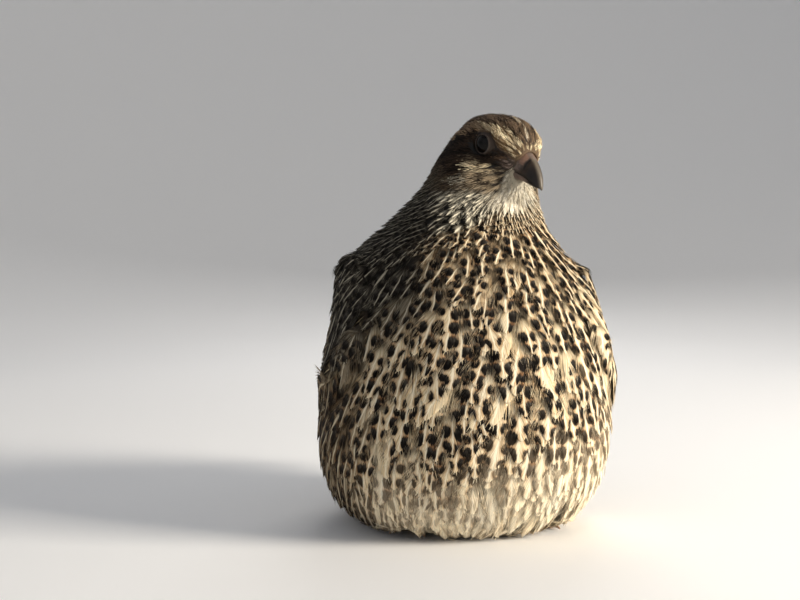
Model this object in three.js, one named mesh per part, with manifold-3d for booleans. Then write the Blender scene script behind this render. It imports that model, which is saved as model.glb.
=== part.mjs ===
// A coturnix quail at life size, crouched on a level floor with its plumage fluffed up and its
// head turned a little to its left. Millimetres, +Z up. The bird faces -Y and its left is +X.
// Body, neck and head are modelled as one form and parted by thin cuts. Wings and tail carry
// their feathers as overlapping vanes in tiers, each rooted in a core that lies on the body.
import * as THREE from "three";
import { mergeVertices } from "three/addons/utils/BufferGeometryUtils.js";
import Module from "manifold-3d";

const wasm = await Module();
wasm.setup();

// Driving dimensions
const GAP = 0.3; // between touching pieces
const BODY_SHIFT = -17.2; // moves the whole bird along Y, so that the origin is under its middle
const BODY_SIDES = 36;
const BODY_RINGS = 27;
const FRONT_ROUND = 0.92; // power on the section's cosine: under 1 is fuller than an ellipse
const BACK_ROUND = 1.1;

// The body and neck, level by level: height, middle x, widest y, half width, front y, back y
const BODY_LEVELS = [
  [0, -0.6, 1.9, 27.6, -25.1, 33.5],
  [2, -1, 1.9, 33.4, -32.6, 40.9],
  [8.4, -1.1, 0.9, 39, -40, 50.2],
  [18.6, -1, 0, 43, -45.6, 56.5],
  [30.7, -0.4, 0, 44, -48.5, 62.6],
  [42.8, 0, 0, 41.8, -48.9, 63.8],
  [54.9, -0.2, -0.9, 38.8, -47.4, 57],
  [66, -0.8, -2.4, 36.2, -44.6, 43.7],
  [75.3, -1.7, -2.6, 33.8, -41.4, 33],
  [80.9, -2.2, -2, 31.4, -39.1, 26.4],
  [85, -2.2, -5, 27.6, -37.2, 19.6],
  [89, -1.6, -9.4, 23.6, -35.2, 11.4],
  [94.6, -0.1, -12.6, 19.6, -32.8, 4.2],
  [101, 2.2, -15.5, 16.2, -30.9, 0.2],
  [107, 2.9, -16, 14, -29.2, -2.2],
  [112, 4, -15.5, 11.8, -27.5, -4.4],
  [116, 4.9, -15.5, 9.7, -25, -7],
  [118.6, 5.4, -15.5, 7, -23, -9.5],
];
const LEVEL_SIZE = 6;

// Head: the point midway between the eyes, and how the head is turned
const EYE_LEVEL = new THREE.Vector3(8.1, -23.4, 110.9);
const HEAD_YAW = THREE.MathUtils.degToRad(26);
const HEAD_PITCH = THREE.MathUtils.degToRad(23);
// Stations from the nape to the bill: forward, half width, up, down
const HEAD_STATIONS = [
  [-16.4, 1.1, 1.3, 1.5],
  [-15.4, 4.3, 3.4, 5],
  [-13, 7.4, 5.2, 8.2],
  [-8.8, 9.6, 6.9, 10.2],
  [-3.7, 10.4, 8.2, 10.8],
  [1, 10.1, 8.6, 10.2],
  [4.7, 8.4, 7.9, 9.2],
  [7.5, 6.4, 6, 8.1],
  [9.8, 4.7, 3.8, 7.4],
  [11.3, 3.6, 2.1, 6.8],
];
const HEAD_SIDES = 26;
const HEAD_RINGS = 18;

const EYE_RADIUS = 3.8;
const EYE_CENTRE = [0.8, 6.8, 0.6]; // forward, left, up
const LID_RADIUS = 3.15;
const LID_THICKNESS = 0.62;
const LID_OUT = 9.1; // how far from the middle plane the lids lie
const LID_TURN = THREE.MathUtils.degToRad(9); // how far the eyes look forwards
const CHEEK = { centre: [-3.3, 6.6, -4.3], radii: [6.5, 4.1, 4.7] };
const BROW = { centre: [1.8, 5.6, 3.1], radii: [6, 3.2, 2.6] };
const THROAT = { centre: [3.4, 0, -7.6], radii: [6.4, 5.6, 3.6] };

// Bill, in the head's frame. Each half has its height at the base, its share of the length, its
// share of the width, and how late it bends down to the tip.
const BILL_TIP = [19.6, -6.4];
const BILL_BASE = [7.4, -4]; // on the line of the mouth
const BILL_HALF_WIDTH = 3.3;
const BILL_FULLNESS = 2; // power on the taper: larger keeps the bill full for longer
const BILL_TIP_TAPER = 0.012;
const BILL_HALVES = {
  upper: { height: 5.5, reach: 1, wide: 1, bend: 2.6 },
  lower: { height: -2.2, reach: 0.9, wide: 0.86, bend: 2.2 },
};
const BILL_FLAT = 0.15; // how far the closed faces of the halves bulge
const BILL_STEPS = 8;
const BILL_SIDES = 12;
const NOSTRIL = { centre: [12.6, 2.7, -1.6], radii: [1.5, 0.8, 0.55] };
const GAPE = { forward: 9, back: 5, up: -4.1, drop: 0.9, half: 0.3, inner: 5.6 };

// Cuts between torso, neck and head: a point on the plane and the way it faces
const NECK_CUT = { at: [0, -11, 86], tilt: 12 };
const HEAD_CUT = { at: [3, -20, 100], tilt: 15 };

// Wing: laid on the body from the shoulder backwards, in wing millimetres
const WING_START = THREE.MathUtils.degToRad(60); // round the body from the breast
const WING_ROUND = 46; // body radius along the wing
const WING_HEIGHT = { left: 63, right: 66 }; // the right shoulder is held a little higher
const WING_SLOPE = THREE.MathUtils.degToRad(15);
const WING_CORE = { start: -4, length: 58, up: 17, down: 18, rise: 2.3, sunk: 2, rings: 10, points: 7 };
// Tiers, lower ones first: number of feathers, first and last root along and up, length and width
// of a feather, turn of the first and last one in degrees, rise off the body
const WING_TIERS = {
  primaries: { count: 5, from: [35, -13], to: [43, -4], length: 39, width: 8, turn: [2, 9], rise: 1.2 },
  secondaries: { count: 6, from: [15, -15], to: [32, 6], length: 36, width: 9.4, turn: [-2, 4], rise: 1.5 },
  tertials: { count: 4, from: [25, 4], to: [31, 13], length: 33, width: 10.4, turn: [-1, -6], rise: 2 },
  greater: { count: 6, from: [7, -14], to: [24, 8], length: 18, width: 9.2, turn: [-8, -2], rise: 2.2 },
  median: { count: 5, from: [2, -11], to: [16, 8], length: 14, width: 9, turn: [-12, -2], rise: 2.5 },
  lesser: { count: 4, from: [-3, -7], to: [8, 8], length: 11, width: 8.6, turn: [-16, -4], rise: 2.8 },
  scapulars: { count: 5, from: [2, 12], to: [27, 17], length: 20, width: 10, turn: [2, -10], rise: 2.9 },
};
const VANE_THICKNESS = 1.2;
const VANE_LIFT = 0.6; // of the tip above the root
const VANE_CROWN = 0.35; // of the shaft above the edges
const VANE_ROOT_WIDTH = 0.62; // of the widest
const VANE_TIP_WIDTH = 0.03; // squared, of the widest
const VANE_THINNING = 0.3; // towards the tip
const VANE_UNDERSIDE = 0.92; // of the upper side's width
const TIER_VARY = 0.06; // share by which lengths in a tier differ
const SHINGLE = 0.28; // every second feather lies this much higher

// Tail
const TAIL_ROOT = [0, 54, 50.5];
const TAIL_DROP = THREE.MathUtils.degToRad(39);
const TAIL_FAN = THREE.MathUtils.degToRad(6.5); // between one feather and the next
const TAIL_FEATHERS = 10;
const TAIL_LENGTH = 38;
const TAIL_WIDTH = 8.6; // of one feather
const TAIL_THICKNESS = 0.9;
const TAIL_ROUNDING = 0.45; // how much shorter the outer feathers are
const TAIL_TILT = 0.42; // how much lower each feather lies than the one inside it
const TAIL_CORE = { radii: [14, 16, 7], back: 5, down: 4.5 };
const TAIL_ARCH = 40; // the fan's cross section is this parabola's width squared for 1 mm of drop
const TAIL_COVERTS = {
  tiers: 3, count: 5, length: 20, width: 9, fan: 2.1, start: 8, step: -6, rise: 2, lift: 0.7, tilt: 0.35,
};
const UNDERTAIL = { count: 4, length: 22, width: 10, fan: 2.4, start: 6, drop: 6.5, lift: 4 };

// Legs
const HOCK = [16.5, 21, 4.2];
const TOE_BASE = [16.5, -3, 3];
const TARSUS_RADIUS = 1.8;
const FOOT_PAD = [2.5, 2.6, 2.2];
const FOOT_PAD_HEIGHT = 2.1;
const TOES = {
  inner: { length: 14, turn: -30, radius: 1.3 },
  middle: { length: 18.5, turn: -2, radius: 1.4 },
  outer: { length: 15, turn: 27, radius: 1.3 },
  hind: { length: 5.5, turn: 158, radius: 1.1 },
};
const CLAW_LENGTH = 3.6;
const CLAW_TIP = 0.2; // radius
const LEG_POCKET = { half: 11, heel: 4.6, foot: 4, front: -27, back: 27, height: 6.8 };

// Colours
const PLUMAGE = { buff: 0xc9ad7e, brown: 0x5d4630, dark: 0x3a2c20, cream: 0xd9c9a4 };
const HORN = 0x4a3f3a;
const SKIN = 0xb58e72;
const EYE = 0x120c08;

function material(color, roughness = 0.8) {
  return new THREE.MeshStandardMaterial({ color, roughness, metalness: 0 });
}

// Solids from three.js geometry, and back
function solidFrom(geometry) {
  const plain = geometry.index ? geometry.toNonIndexed() : geometry.clone();
  for (const name of Object.keys(plain.attributes)) {
    if (name !== "position") plain.deleteAttribute(name);
  }
  const merged = mergeVertices(plain, 1e-4);
  const position = merged.attributes.position.array;
  const corners = new Uint32Array(merged.index.array);
  let volume = 0;
  const at = (i) => new THREE.Vector3(position[3 * i], position[3 * i + 1], position[3 * i + 2]);
  for (let i = 0; i < corners.length; i += 3) {
    volume += at(corners[i]).dot(at(corners[i + 1]).cross(at(corners[i + 2])));
  }
  if (volume < 0) {
    for (let i = 0; i < corners.length; i += 3) {
      [corners[i + 1], corners[i + 2]] = [corners[i + 2], corners[i + 1]];
    }
  }
  return new wasm.Manifold(
    new wasm.Mesh({ numProp: 3, vertProperties: new Float32Array(position), triVerts: corners }),
  );
}

function geometryFrom(solid) {
  const mesh = solid.getMesh();
  const geometry = new THREE.BufferGeometry();
  geometry.setAttribute("position", new THREE.BufferAttribute(new Float32Array(mesh.vertProperties), 3));
  geometry.setIndex(new THREE.BufferAttribute(new Uint32Array(mesh.triVerts), 1));
  geometry.computeVertexNormals();
  return geometry;
}

function join(solids) {
  return solids.reduce((whole, piece) => whole.add(piece));
}

// The largest closed surface: a sealed hollow is filled and a loose scrap dropped
function largest(solid) {
  return solid.decompose().reduce((best, piece) => (piece.volume() > best.volume() ? piece : best));
}

// A closed body through rings of points, each end closed to the middle of its ring
function loft(rings) {
  const sides = rings[0].length;
  const points = rings.flat();
  const ends = [rings[0], rings[rings.length - 1]].map((ring) =>
    ring.reduce((sum, p) => sum.add(p), new THREE.Vector3()).divideScalar(sides),
  );
  points.push(...ends);
  const first = rings.length * sides;
  const corners = [];
  for (let r = 0; r + 1 < rings.length; r++) {
    for (let s = 0; s < sides; s++) {
      const a = r * sides + s;
      const b = r * sides + ((s + 1) % sides);
      corners.push(a, b, a + sides, b, b + sides, a + sides);
    }
  }
  for (let s = 0; s < sides; s++) {
    const next = (s + 1) % sides;
    corners.push(first, next, s);
    corners.push(first + 1, first - sides + s, first - sides + next);
  }
  const geometry = new THREE.BufferGeometry().setFromPoints(points);
  geometry.setIndex(corners);
  return geometry;
}

function ellipsoid(radii, centre, frame, detail = 14) {
  const geometry = new THREE.SphereGeometry(1, detail, Math.round(detail * 0.6));
  geometry.scale(...radii);
  geometry.translate(...centre);
  if (frame) geometry.applyMatrix4(frame);
  return solidFrom(geometry);
}

// A slab far larger than the bird, whose lower face passes through the point
function above(at, tilt) {
  const reach = 400;
  const geometry = new THREE.BoxGeometry(reach, reach, reach);
  geometry.translate(0, 0, reach / 2);
  geometry.rotateX(THREE.MathUtils.degToRad(tilt));
  geometry.translate(...at);
  return solidFrom(geometry);
}

const signedPower = (value, power) => Math.sign(value) * Math.abs(value) ** power;

// The body's surface: how far up, as a level number, and how far round from the breast to the left
const levelTable = new THREE.CubicInterpolant(
  BODY_LEVELS.map((_, i) => i),
  BODY_LEVELS.flat(),
  LEVEL_SIZE,
  new Float32Array(LEVEL_SIZE),
);

function bodyPoint(level, angle) {
  const [z, middle, wide, half, front, back] = levelTable.evaluate(level);
  const x = middle + half * signedPower(Math.sin(angle), FRONT_ROUND);
  const along = Math.cos(angle);
  const y = along > 0
    ? wide + (front - wide) * along ** FRONT_ROUND
    : wide + (back - wide) * (-along) ** BACK_ROUND;
  return new THREE.Vector3(x, y, z);
}

function bodyNormal(level, angle) {
  const step = 0.02;
  const up = bodyPoint(level + step, angle).sub(bodyPoint(level - step, angle));
  const round = bodyPoint(level, angle + step).sub(bodyPoint(level, angle - step));
  return round.cross(up).normalize();
}

function levelOf(height) {
  let low = 0;
  let high = BODY_LEVELS.length - 1;
  for (let i = 0; i < 24; i++) {
    const middle = (low + high) / 2;
    if (levelTable.evaluate(middle)[0] < height) low = middle;
    else high = middle;
  }
  return low;
}

// The body and neck as one solid, grown outwards by an amount
function bodySolid(grow = 0) {
  const top = BODY_LEVELS.length - 1;
  const rings = [];
  for (let r = 0; r <= BODY_RINGS; r++) {
    const level = (top * r) / BODY_RINGS;
    const ring = [];
    for (let s = 0; s < BODY_SIDES; s++) {
      const angle = (2 * Math.PI * s) / BODY_SIDES;
      const point = bodyPoint(level, angle);
      if (grow) {
        const inside = Math.min(Math.max(level, 0.05), top - 0.05);
        point.addScaledVector(bodyNormal(inside, angle), grow);
      }
      ring.push(point);
    }
    rings.push(ring);
  }
  return solidFrom(loft(rings));
}

// Head
const headFrame = new THREE.Matrix4();
{
  const forward = new THREE.Vector3(
    Math.sin(HEAD_YAW) * Math.cos(HEAD_PITCH),
    -Math.cos(HEAD_YAW) * Math.cos(HEAD_PITCH),
    -Math.sin(HEAD_PITCH),
  );
  const left = new THREE.Vector3(Math.cos(HEAD_YAW), Math.sin(HEAD_YAW), 0);
  headFrame.makeBasis(forward, left, forward.clone().cross(left)).setPosition(EYE_LEVEL);
}

function headSolid() {
  const size = 4;
  const table = new THREE.CubicInterpolant(
    HEAD_STATIONS.map((_, i) => i),
    HEAD_STATIONS.flat(),
    size,
    new Float32Array(size),
  );
  const rings = [];
  for (let r = 0; r <= HEAD_RINGS; r++) {
    const [forward, half, up, down] = table.evaluate(((HEAD_STATIONS.length - 1) * r) / HEAD_RINGS);
    const ring = [];
    for (let s = 0; s < HEAD_SIDES; s++) {
      const angle = (2 * Math.PI * s) / HEAD_SIDES;
      const rise = Math.sin(angle) > 0 ? up : down;
      ring.push(new THREE.Vector3(forward, half * Math.cos(angle), rise * Math.sin(angle)));
    }
    rings.push(ring);
  }
  const skull = loft(rings);
  skull.applyMatrix4(headFrame);
  const pieces = [solidFrom(skull), ellipsoid(THROAT.radii, THROAT.centre, headFrame)];
  for (const side of [-1, 1]) {
    for (const swelling of [CHEEK, BROW]) {
      const [forward, left, up] = swelling.centre;
      pieces.push(ellipsoid(swelling.radii, [forward, side * left, up], headFrame));
    }
    pieces.push(lids(side));
  }
  return join(pieces);
}

// The ring of both lids round one eye
function lids(side) {
  const ring = new THREE.TorusGeometry(LID_RADIUS, LID_THICKNESS, 6, 18);
  ring.rotateX(Math.PI / 2);
  ring.rotateZ(-side * LID_TURN);
  const [forward, , up] = EYE_CENTRE;
  ring.translate(forward, side * LID_OUT, up);
  ring.applyMatrix4(headFrame);
  return solidFrom(ring);
}

function eyeSolid(side, grow = 0) {
  const [forward, left, up] = EYE_CENTRE;
  const radius = EYE_RADIUS + grow;
  return ellipsoid([radius, radius, radius], [forward, side * left, up], headFrame);
}

// Half of the bill: a body tapering along a curve that bends down to the tip
function billSolid(half, grow = 0) {
  const { height, reach, wide, bend } = BILL_HALVES[half];
  const outwards = Math.sign(height);
  const rings = [];
  for (let r = 0; r <= BILL_STEPS; r++) {
    const t = r / BILL_STEPS;
    const forward = THREE.MathUtils.lerp(BILL_BASE[0] - grow, BILL_TIP[0], t * reach);
    const mouth = THREE.MathUtils.lerp(BILL_BASE[1], BILL_TIP[1], (t * reach) ** bend);
    const taper = Math.sqrt(Math.max(BILL_TIP_TAPER, 1 - t ** BILL_FULLNESS));
    const ring = [];
    for (let s = 0; s < BILL_SIDES; s++) {
      const angle = (2 * Math.PI * s) / BILL_SIDES;
      const over = Math.max(0, Math.sin(angle));
      const under = Math.min(0, Math.sin(angle));
      const rise = height * taper * over + outwards * (over > 0 ? grow : 0);
      ring.push(new THREE.Vector3(
        forward,
        (BILL_HALF_WIDTH * taper * wide + grow) * Math.cos(angle),
        mouth + outwards * (GAP / 2 + 0.02) + rise + outwards * under * (BILL_FLAT + grow),
      ));
    }
    rings.push(ring);
  }
  const geometry = loft(rings);
  geometry.applyMatrix4(headFrame);
  return solidFrom(geometry);
}

// The line of the mouth behind the bill, as a narrow groove in each cheek
function gapeGroove(side) {
  const middle = (GAPE.forward + GAPE.back) / 2;
  const length = GAPE.forward - GAPE.back;
  const depth = 8;
  const groove = new THREE.BoxGeometry(length, depth, GAPE.half * 2);
  groove.rotateY(Math.atan2(GAPE.drop, length));
  groove.translate(middle, side * (GAPE.inner + depth / 2), GAPE.up);
  groove.applyMatrix4(headFrame);
  return solidFrom(groove);
}

// Wing
function wingPoint(side, along, up, rise) {
  const run = along * Math.cos(WING_SLOPE) + up * Math.sin(WING_SLOPE);
  const climb = up * Math.cos(WING_SLOPE) - along * Math.sin(WING_SLOPE);
  const angle = side * (WING_START + run / WING_ROUND);
  const level = levelOf((side > 0 ? WING_HEIGHT.left : WING_HEIGHT.right) + climb);
  return bodyPoint(level, angle).addScaledVector(bodyNormal(level, angle), rise);
}

// The wing's bed: a low cushion on the body that the feathers grow from
function wingCore(side) {
  const rings = [];
  for (let r = 0; r <= WING_CORE.rings; r++) {
    const t = r / WING_CORE.rings;
    const along = WING_CORE.start + WING_CORE.length * t;
    const spread = Math.sqrt(Math.max(0.02, 1 - (2 * t - 0.92) ** 2 / 1.18)); // rounded at both ends
    const outer = [];
    const inner = [];
    for (let s = 0; s <= WING_CORE.points; s++) {
      const v = s / WING_CORE.points;
      const up = THREE.MathUtils.lerp(-WING_CORE.down, WING_CORE.up, v) * spread;
      const swell = Math.sin(Math.PI * (0.06 + 0.88 * v)) * spread;
      outer.push(wingPoint(side, along, up, WING_CORE.rise * swell));
      inner.push(wingPoint(side, along, up, -WING_CORE.sunk));
    }
    rings.push([...outer, ...inner.reverse()]);
  }
  return solidFrom(loft(rings));
}

// One feather as a flat, tapered vane. place gives a point for how far along, across and up.
function vane(place, length, width, thickness, lift = VANE_LIFT, steps = 4) {
  const rings = [];
  for (let r = 0; r <= steps; r++) {
    const t = r / steps;
    const rounding = Math.sqrt(Math.max(VANE_TIP_WIDTH, 1 - t ** 4));
    const half = (width / 2) * rounding * THREE.MathUtils.lerp(VANE_ROOT_WIDTH, 1, Math.min(1, 2.5 * t));
    const top = lift * t;
    const under = top - thickness * (1 - VANE_THINNING * t);
    rings.push([
      place(length * t, -half, top),
      place(length * t, 0, top + VANE_CROWN),
      place(length * t, half, top),
      place(length * t, half * VANE_UNDERSIDE, under),
      place(length * t, -half * VANE_UNDERSIDE, under),
    ]);
  }
  return solidFrom(loft(rings));
}

function wingSolid(side, body) {
  const pieces = [wingCore(side)];
  for (const tier of Object.values(WING_TIERS)) {
    for (let i = 0; i < tier.count; i++) {
      const t = i / (tier.count - 1);
      const root = [0, 1].map((k) => THREE.MathUtils.lerp(tier.from[k], tier.to[k], t));
      const turn = THREE.MathUtils.degToRad(THREE.MathUtils.lerp(tier.turn[0], tier.turn[1], t));
      const length = tier.length * (1 - TIER_VARY + TIER_VARY * Math.cos(2.4 * i));
      const shingle = SHINGLE * (i % 2);
      const place = (along, across, rise) => wingPoint(
        side,
        root[0] + along * Math.cos(turn) - across * Math.sin(turn),
        root[1] + along * Math.sin(turn) + across * Math.cos(turn),
        tier.rise + shingle + rise,
      );
      pieces.push(vane(place, length, tier.width, VANE_THICKNESS));
    }
  }
  return largest(join(pieces).subtract(body));
}

// Tail
function tailSolid(body) {
  const root = new THREE.Vector3(...TAIL_ROOT);
  const back = new THREE.Vector3(0, Math.cos(TAIL_DROP), -Math.sin(TAIL_DROP));
  const up = new THREE.Vector3(0, Math.sin(TAIL_DROP), Math.cos(TAIL_DROP));
  const left = new THREE.Vector3(1, 0, 0);
  const spot = (along, across, rise) => root.clone()
    .addScaledVector(back, along)
    .addScaledVector(left, across)
    .addScaledVector(up, rise - (across * across) / TAIL_ARCH);
  const fan = (turn, start, height) => (along, across, rise) => spot(
    start + along * Math.cos(turn) - across * Math.sin(turn),
    along * Math.sin(turn) + across * Math.cos(turn),
    height + rise,
  );
  const places = (count) => Array.from({ length: count }, (_, i) => i - (count - 1) / 2);
  const frame = new THREE.Matrix4()
    .makeBasis(left, back, up)
    .setPosition(spot(TAIL_CORE.back, 0, -TAIL_CORE.down));
  const pieces = [ellipsoid(TAIL_CORE.radii, [0, 0, 0], frame)];
  for (const across of places(TAIL_FEATHERS)) {
    const length = TAIL_LENGTH - TAIL_ROUNDING * across * across;
    const height = TAIL_THICKNESS - TAIL_TILT * Math.abs(across);
    pieces.push(vane(fan(TAIL_FAN * across, 0, height), length, TAIL_WIDTH, TAIL_THICKNESS, 0));
  }
  for (let tier = 0; tier < TAIL_COVERTS.tiers; tier++) {
    const covert = TAIL_COVERTS;
    for (const across of places(covert.count - (tier % 2))) {
      const height = covert.rise + covert.lift * tier - covert.tilt * Math.abs(across);
      const turn = covert.fan * TAIL_FAN * across;
      const place = fan(turn, covert.start + covert.step * tier, height);
      pieces.push(vane(place, covert.length, covert.width, VANE_THICKNESS));
    }
  }
  for (const across of places(UNDERTAIL.count)) {
    const { length, width, start, drop, lift } = UNDERTAIL;
    const place = fan(UNDERTAIL.fan * TAIL_FAN * across, start, -drop);
    pieces.push(vane(place, length, width, VANE_THICKNESS, lift));
  }
  return largest(join(pieces).subtract(body));
}

// Legs
function tube(points, radii, sides = 8) {
  const curve = new THREE.CatmullRomCurve3(points);
  const steps = points.length + 1;
  const rings = [];
  for (let r = 0; r <= steps; r++) {
    const t = r / steps;
    const centre = curve.getPoint(t);
    const tangent = curve.getTangent(t);
    const across = new THREE.Vector3(0, 0, 1).cross(tangent).normalize();
    const over = tangent.clone().cross(across);
    const slot = t * (radii.length - 1);
    const low = Math.min(Math.floor(slot), radii.length - 2);
    const radius = THREE.MathUtils.lerp(radii[low], radii[low + 1], slot - low);
    const ring = [];
    for (let s = 0; s < sides; s++) {
      const angle = (2 * Math.PI * (s + 0.5)) / sides;
      ring.push(centre.clone()
        .addScaledVector(across, radius * Math.cos(angle))
        .addScaledVector(over, radius * Math.sin(angle)));
    }
    rings.push(ring);
  }
  return solidFrom(loft(rings));
}

function legSolid(side) {
  const hock = new THREE.Vector3(side * HOCK[0], HOCK[1], HOCK[2]);
  const base = new THREE.Vector3(side * TOE_BASE[0], TOE_BASE[1], TOE_BASE[2]);
  const scaled = (radius, ...shares) => shares.map((share) => radius * share);
  const middle = hock.clone().lerp(base, 0.5);
  const pieces = [
    tube([hock, middle, base], scaled(TARSUS_RADIUS, 1.35, 1, 1.15)),
    ellipsoid(FOOT_PAD, [base.x, base.y, FOOT_PAD_HEIGHT], null, 10),
  ];
  for (const { length, turn, radius } of Object.values(TOES)) {
    const heading = THREE.MathUtils.degToRad(turn * side);
    const way = new THREE.Vector3(Math.sin(heading), -Math.cos(heading), 0);
    const low = radius * 0.8; // a toe's middle line lies lower than its radius, so its sole is flat
    const spot = (along, height) => base.clone().setZ(height).addScaledVector(way, along);
    const toe = [spot(0, FOOT_PAD_HEIGHT), spot(length * 0.45, low + 0.3), spot(length, low)];
    pieces.push(tube(toe, scaled(radius, 1.1, 1, 0.9), 6));
    const tip = length + CLAW_LENGTH;
    const claw = [spot(length - 1, low), spot(tip - CLAW_LENGTH / 2, low + 0.2), spot(tip, 0.5)];
    pieces.push(tube(claw, [...scaled(radius, 0.8, 0.5), CLAW_TIP], 5));
  }
  const floor = new THREE.BoxGeometry(200, 200, 20);
  floor.translate(0, 0, -10);
  return largest(join(pieces).subtract(solidFrom(floor)));
}

// The hollow under the belly that one leg is folded into
function legPocket(side) {
  const outline = new THREE.Shape();
  const { half, heel, foot, front, back, height } = LEG_POCKET;
  outline.moveTo(-heel, back);
  outline.lineTo(heel, back);
  outline.lineTo(heel, foot);
  outline.lineTo(half, front * 0.5);
  outline.quadraticCurveTo(half * 0.7, front, 0, front);
  outline.quadraticCurveTo(-half * 0.7, front, -half, front * 0.5);
  outline.lineTo(-heel, foot);
  outline.closePath();
  const depth = height + 1;
  const pocket = new THREE.ExtrudeGeometry(outline, { depth, bevelEnabled: false, curveSegments: 4 });
  pocket.translate(side * TOE_BASE[0], 0, -1);
  return solidFrom(pocket);
}

// Assembly
const bird = new THREE.Group();
const shifted = new THREE.Group();
shifted.position.set(0, BODY_SHIFT, 0);
bird.add(shifted);

function add(name, solid, look) {
  const mesh = new THREE.Mesh(geometryFrom(solid), look);
  mesh.name = name;
  shifted.add(mesh);
}

const buff = material(PLUMAGE.buff);
const brown = material(PLUMAGE.brown);
const horn = material(HORN, 0.45);
const skin = material(SKIN, 0.6);

const trunk = bodySolid();
const grown = bodySolid(GAP);
const head = headSolid();
const fused = trunk.add(head);

const neckAt = NECK_CUT.at;
const headAt = HEAD_CUT.at;
const torso = largest(fused.subtract(above(neckAt, NECK_CUT.tilt)))
  .subtract(legPocket(1))
  .subtract(legPocket(-1));
add("torso", largest(torso), buff);

const neckTop = above(headAt, HEAD_CUT.tilt);
const neckBottom = above([neckAt[0], neckAt[1], neckAt[2] + GAP], NECK_CUT.tilt);
add("neck", largest(fused.intersect(neckBottom).subtract(neckTop)), buff);

const face = fused
  .intersect(above([headAt[0], headAt[1], headAt[2] + GAP], HEAD_CUT.tilt))
  .subtract(eyeSolid(1, GAP))
  .subtract(eyeSolid(-1, GAP))
  .subtract(billSolid("upper", GAP))
  .subtract(billSolid("lower", GAP))
  .subtract(gapeGroove(1))
  .subtract(gapeGroove(-1));
add("head", largest(face), brown);
add("eye_left", eyeSolid(1), material(EYE, 0.1));
add("eye_right", eyeSolid(-1), material(EYE, 0.1));

const nostrils = [-1, 1].map((side) => {
  const [forward, left, up] = NOSTRIL.centre;
  return ellipsoid(NOSTRIL.radii, [forward, side * left, up], headFrame, 10);
});
add("bill_upper", largest(billSolid("upper").subtract(join(nostrils))), horn);
add("bill_lower", largest(billSolid("lower")), horn);

add("wing_left", wingSolid(1, grown), brown);
add("wing_right", wingSolid(-1, grown), brown);
add("tail", tailSolid(grown), brown);
add("leg_left", legSolid(1), skin);
add("leg_right", legSolid(-1), skin);

export default bird;
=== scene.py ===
"""The looks of the coturnix quail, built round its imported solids.

One skin lies inside torso, neck and head, and feathers cover it, wings and tail. Each feather is
a thin closed sheet under a shaft and barbs, which are closed blades. Its markings are drawn from
where a point lies on its own feather. Lengths are millimetres until a mesh is made, and the bird
faces -Y.
"""

import math

import bmesh
import bpy
import numpy as np
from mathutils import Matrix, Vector
from mathutils.bvhtree import BVHTree
from mathutils.kdtree import KDTree


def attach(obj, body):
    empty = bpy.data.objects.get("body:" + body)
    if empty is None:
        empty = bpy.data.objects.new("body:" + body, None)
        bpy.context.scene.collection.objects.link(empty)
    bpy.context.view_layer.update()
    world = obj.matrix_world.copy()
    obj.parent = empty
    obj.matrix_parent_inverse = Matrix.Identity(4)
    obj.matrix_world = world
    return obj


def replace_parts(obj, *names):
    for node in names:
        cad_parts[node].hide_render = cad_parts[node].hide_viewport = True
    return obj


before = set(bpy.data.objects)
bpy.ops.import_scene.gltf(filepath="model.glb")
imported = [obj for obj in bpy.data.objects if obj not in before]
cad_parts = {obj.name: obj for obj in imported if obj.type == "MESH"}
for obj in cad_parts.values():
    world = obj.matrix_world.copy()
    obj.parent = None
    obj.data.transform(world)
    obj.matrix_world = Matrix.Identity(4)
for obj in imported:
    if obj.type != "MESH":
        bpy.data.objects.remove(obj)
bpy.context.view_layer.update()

MM = 0.001
UPWARDS = np.array([0.0, 0.0, 1.0])

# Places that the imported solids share
EYE_LEVEL = np.array([8.1, -40.6, 110.9])
HEAD_YAW = math.radians(26)
HEAD_PITCH = math.radians(23)
FORWARD = np.array([
    math.sin(HEAD_YAW) * math.cos(HEAD_PITCH),
    -math.cos(HEAD_YAW) * math.cos(HEAD_PITCH),
    -math.sin(HEAD_PITCH),
])
LEFT = np.array([math.cos(HEAD_YAW), math.sin(HEAD_YAW), 0.0])
HEAD_AXES = np.stack([FORWARD, LEFT, np.cross(FORWARD, LEFT)])
BODY_MIDDLE = np.array([-0.5, -17.2])  # x and y of the body's upright axis
FLOOR_CLEARANCE = 0.25


def smooth(low, high, value):
    """0 below low, 1 above high and an even slope between them."""
    t = np.clip((value - low) / (high - low), 0, 1)
    return t * t * (3 - 2 * t)


def lerp(a, b, t):
    return a + (b - a) * t


def unit(vectors):
    return vectors / np.maximum(np.linalg.norm(vectors, axis=-1, keepdims=True), 1e-9)


def to_head(points):
    """Forward, left and up of the point midway between the eyes."""
    return (points - EYE_LEVEL) @ HEAD_AXES.T


def from_head(points):
    return EYE_LEVEL + np.asarray(points, float) @ HEAD_AXES


def folded(points):
    """The right half of the head laid on the left one."""
    return points * [1, 0, 1] + np.abs(points) * [0, 1, 0]


def linear(red, green, blue):
    """A colour given in 0 to 255 as scene light."""
    value = np.array([red, green, blue]) / 255
    return np.where(value <= 0.04045, value / 12.92, ((value + 0.055) / 1.055) ** 2.4)


# Surfaces


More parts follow.
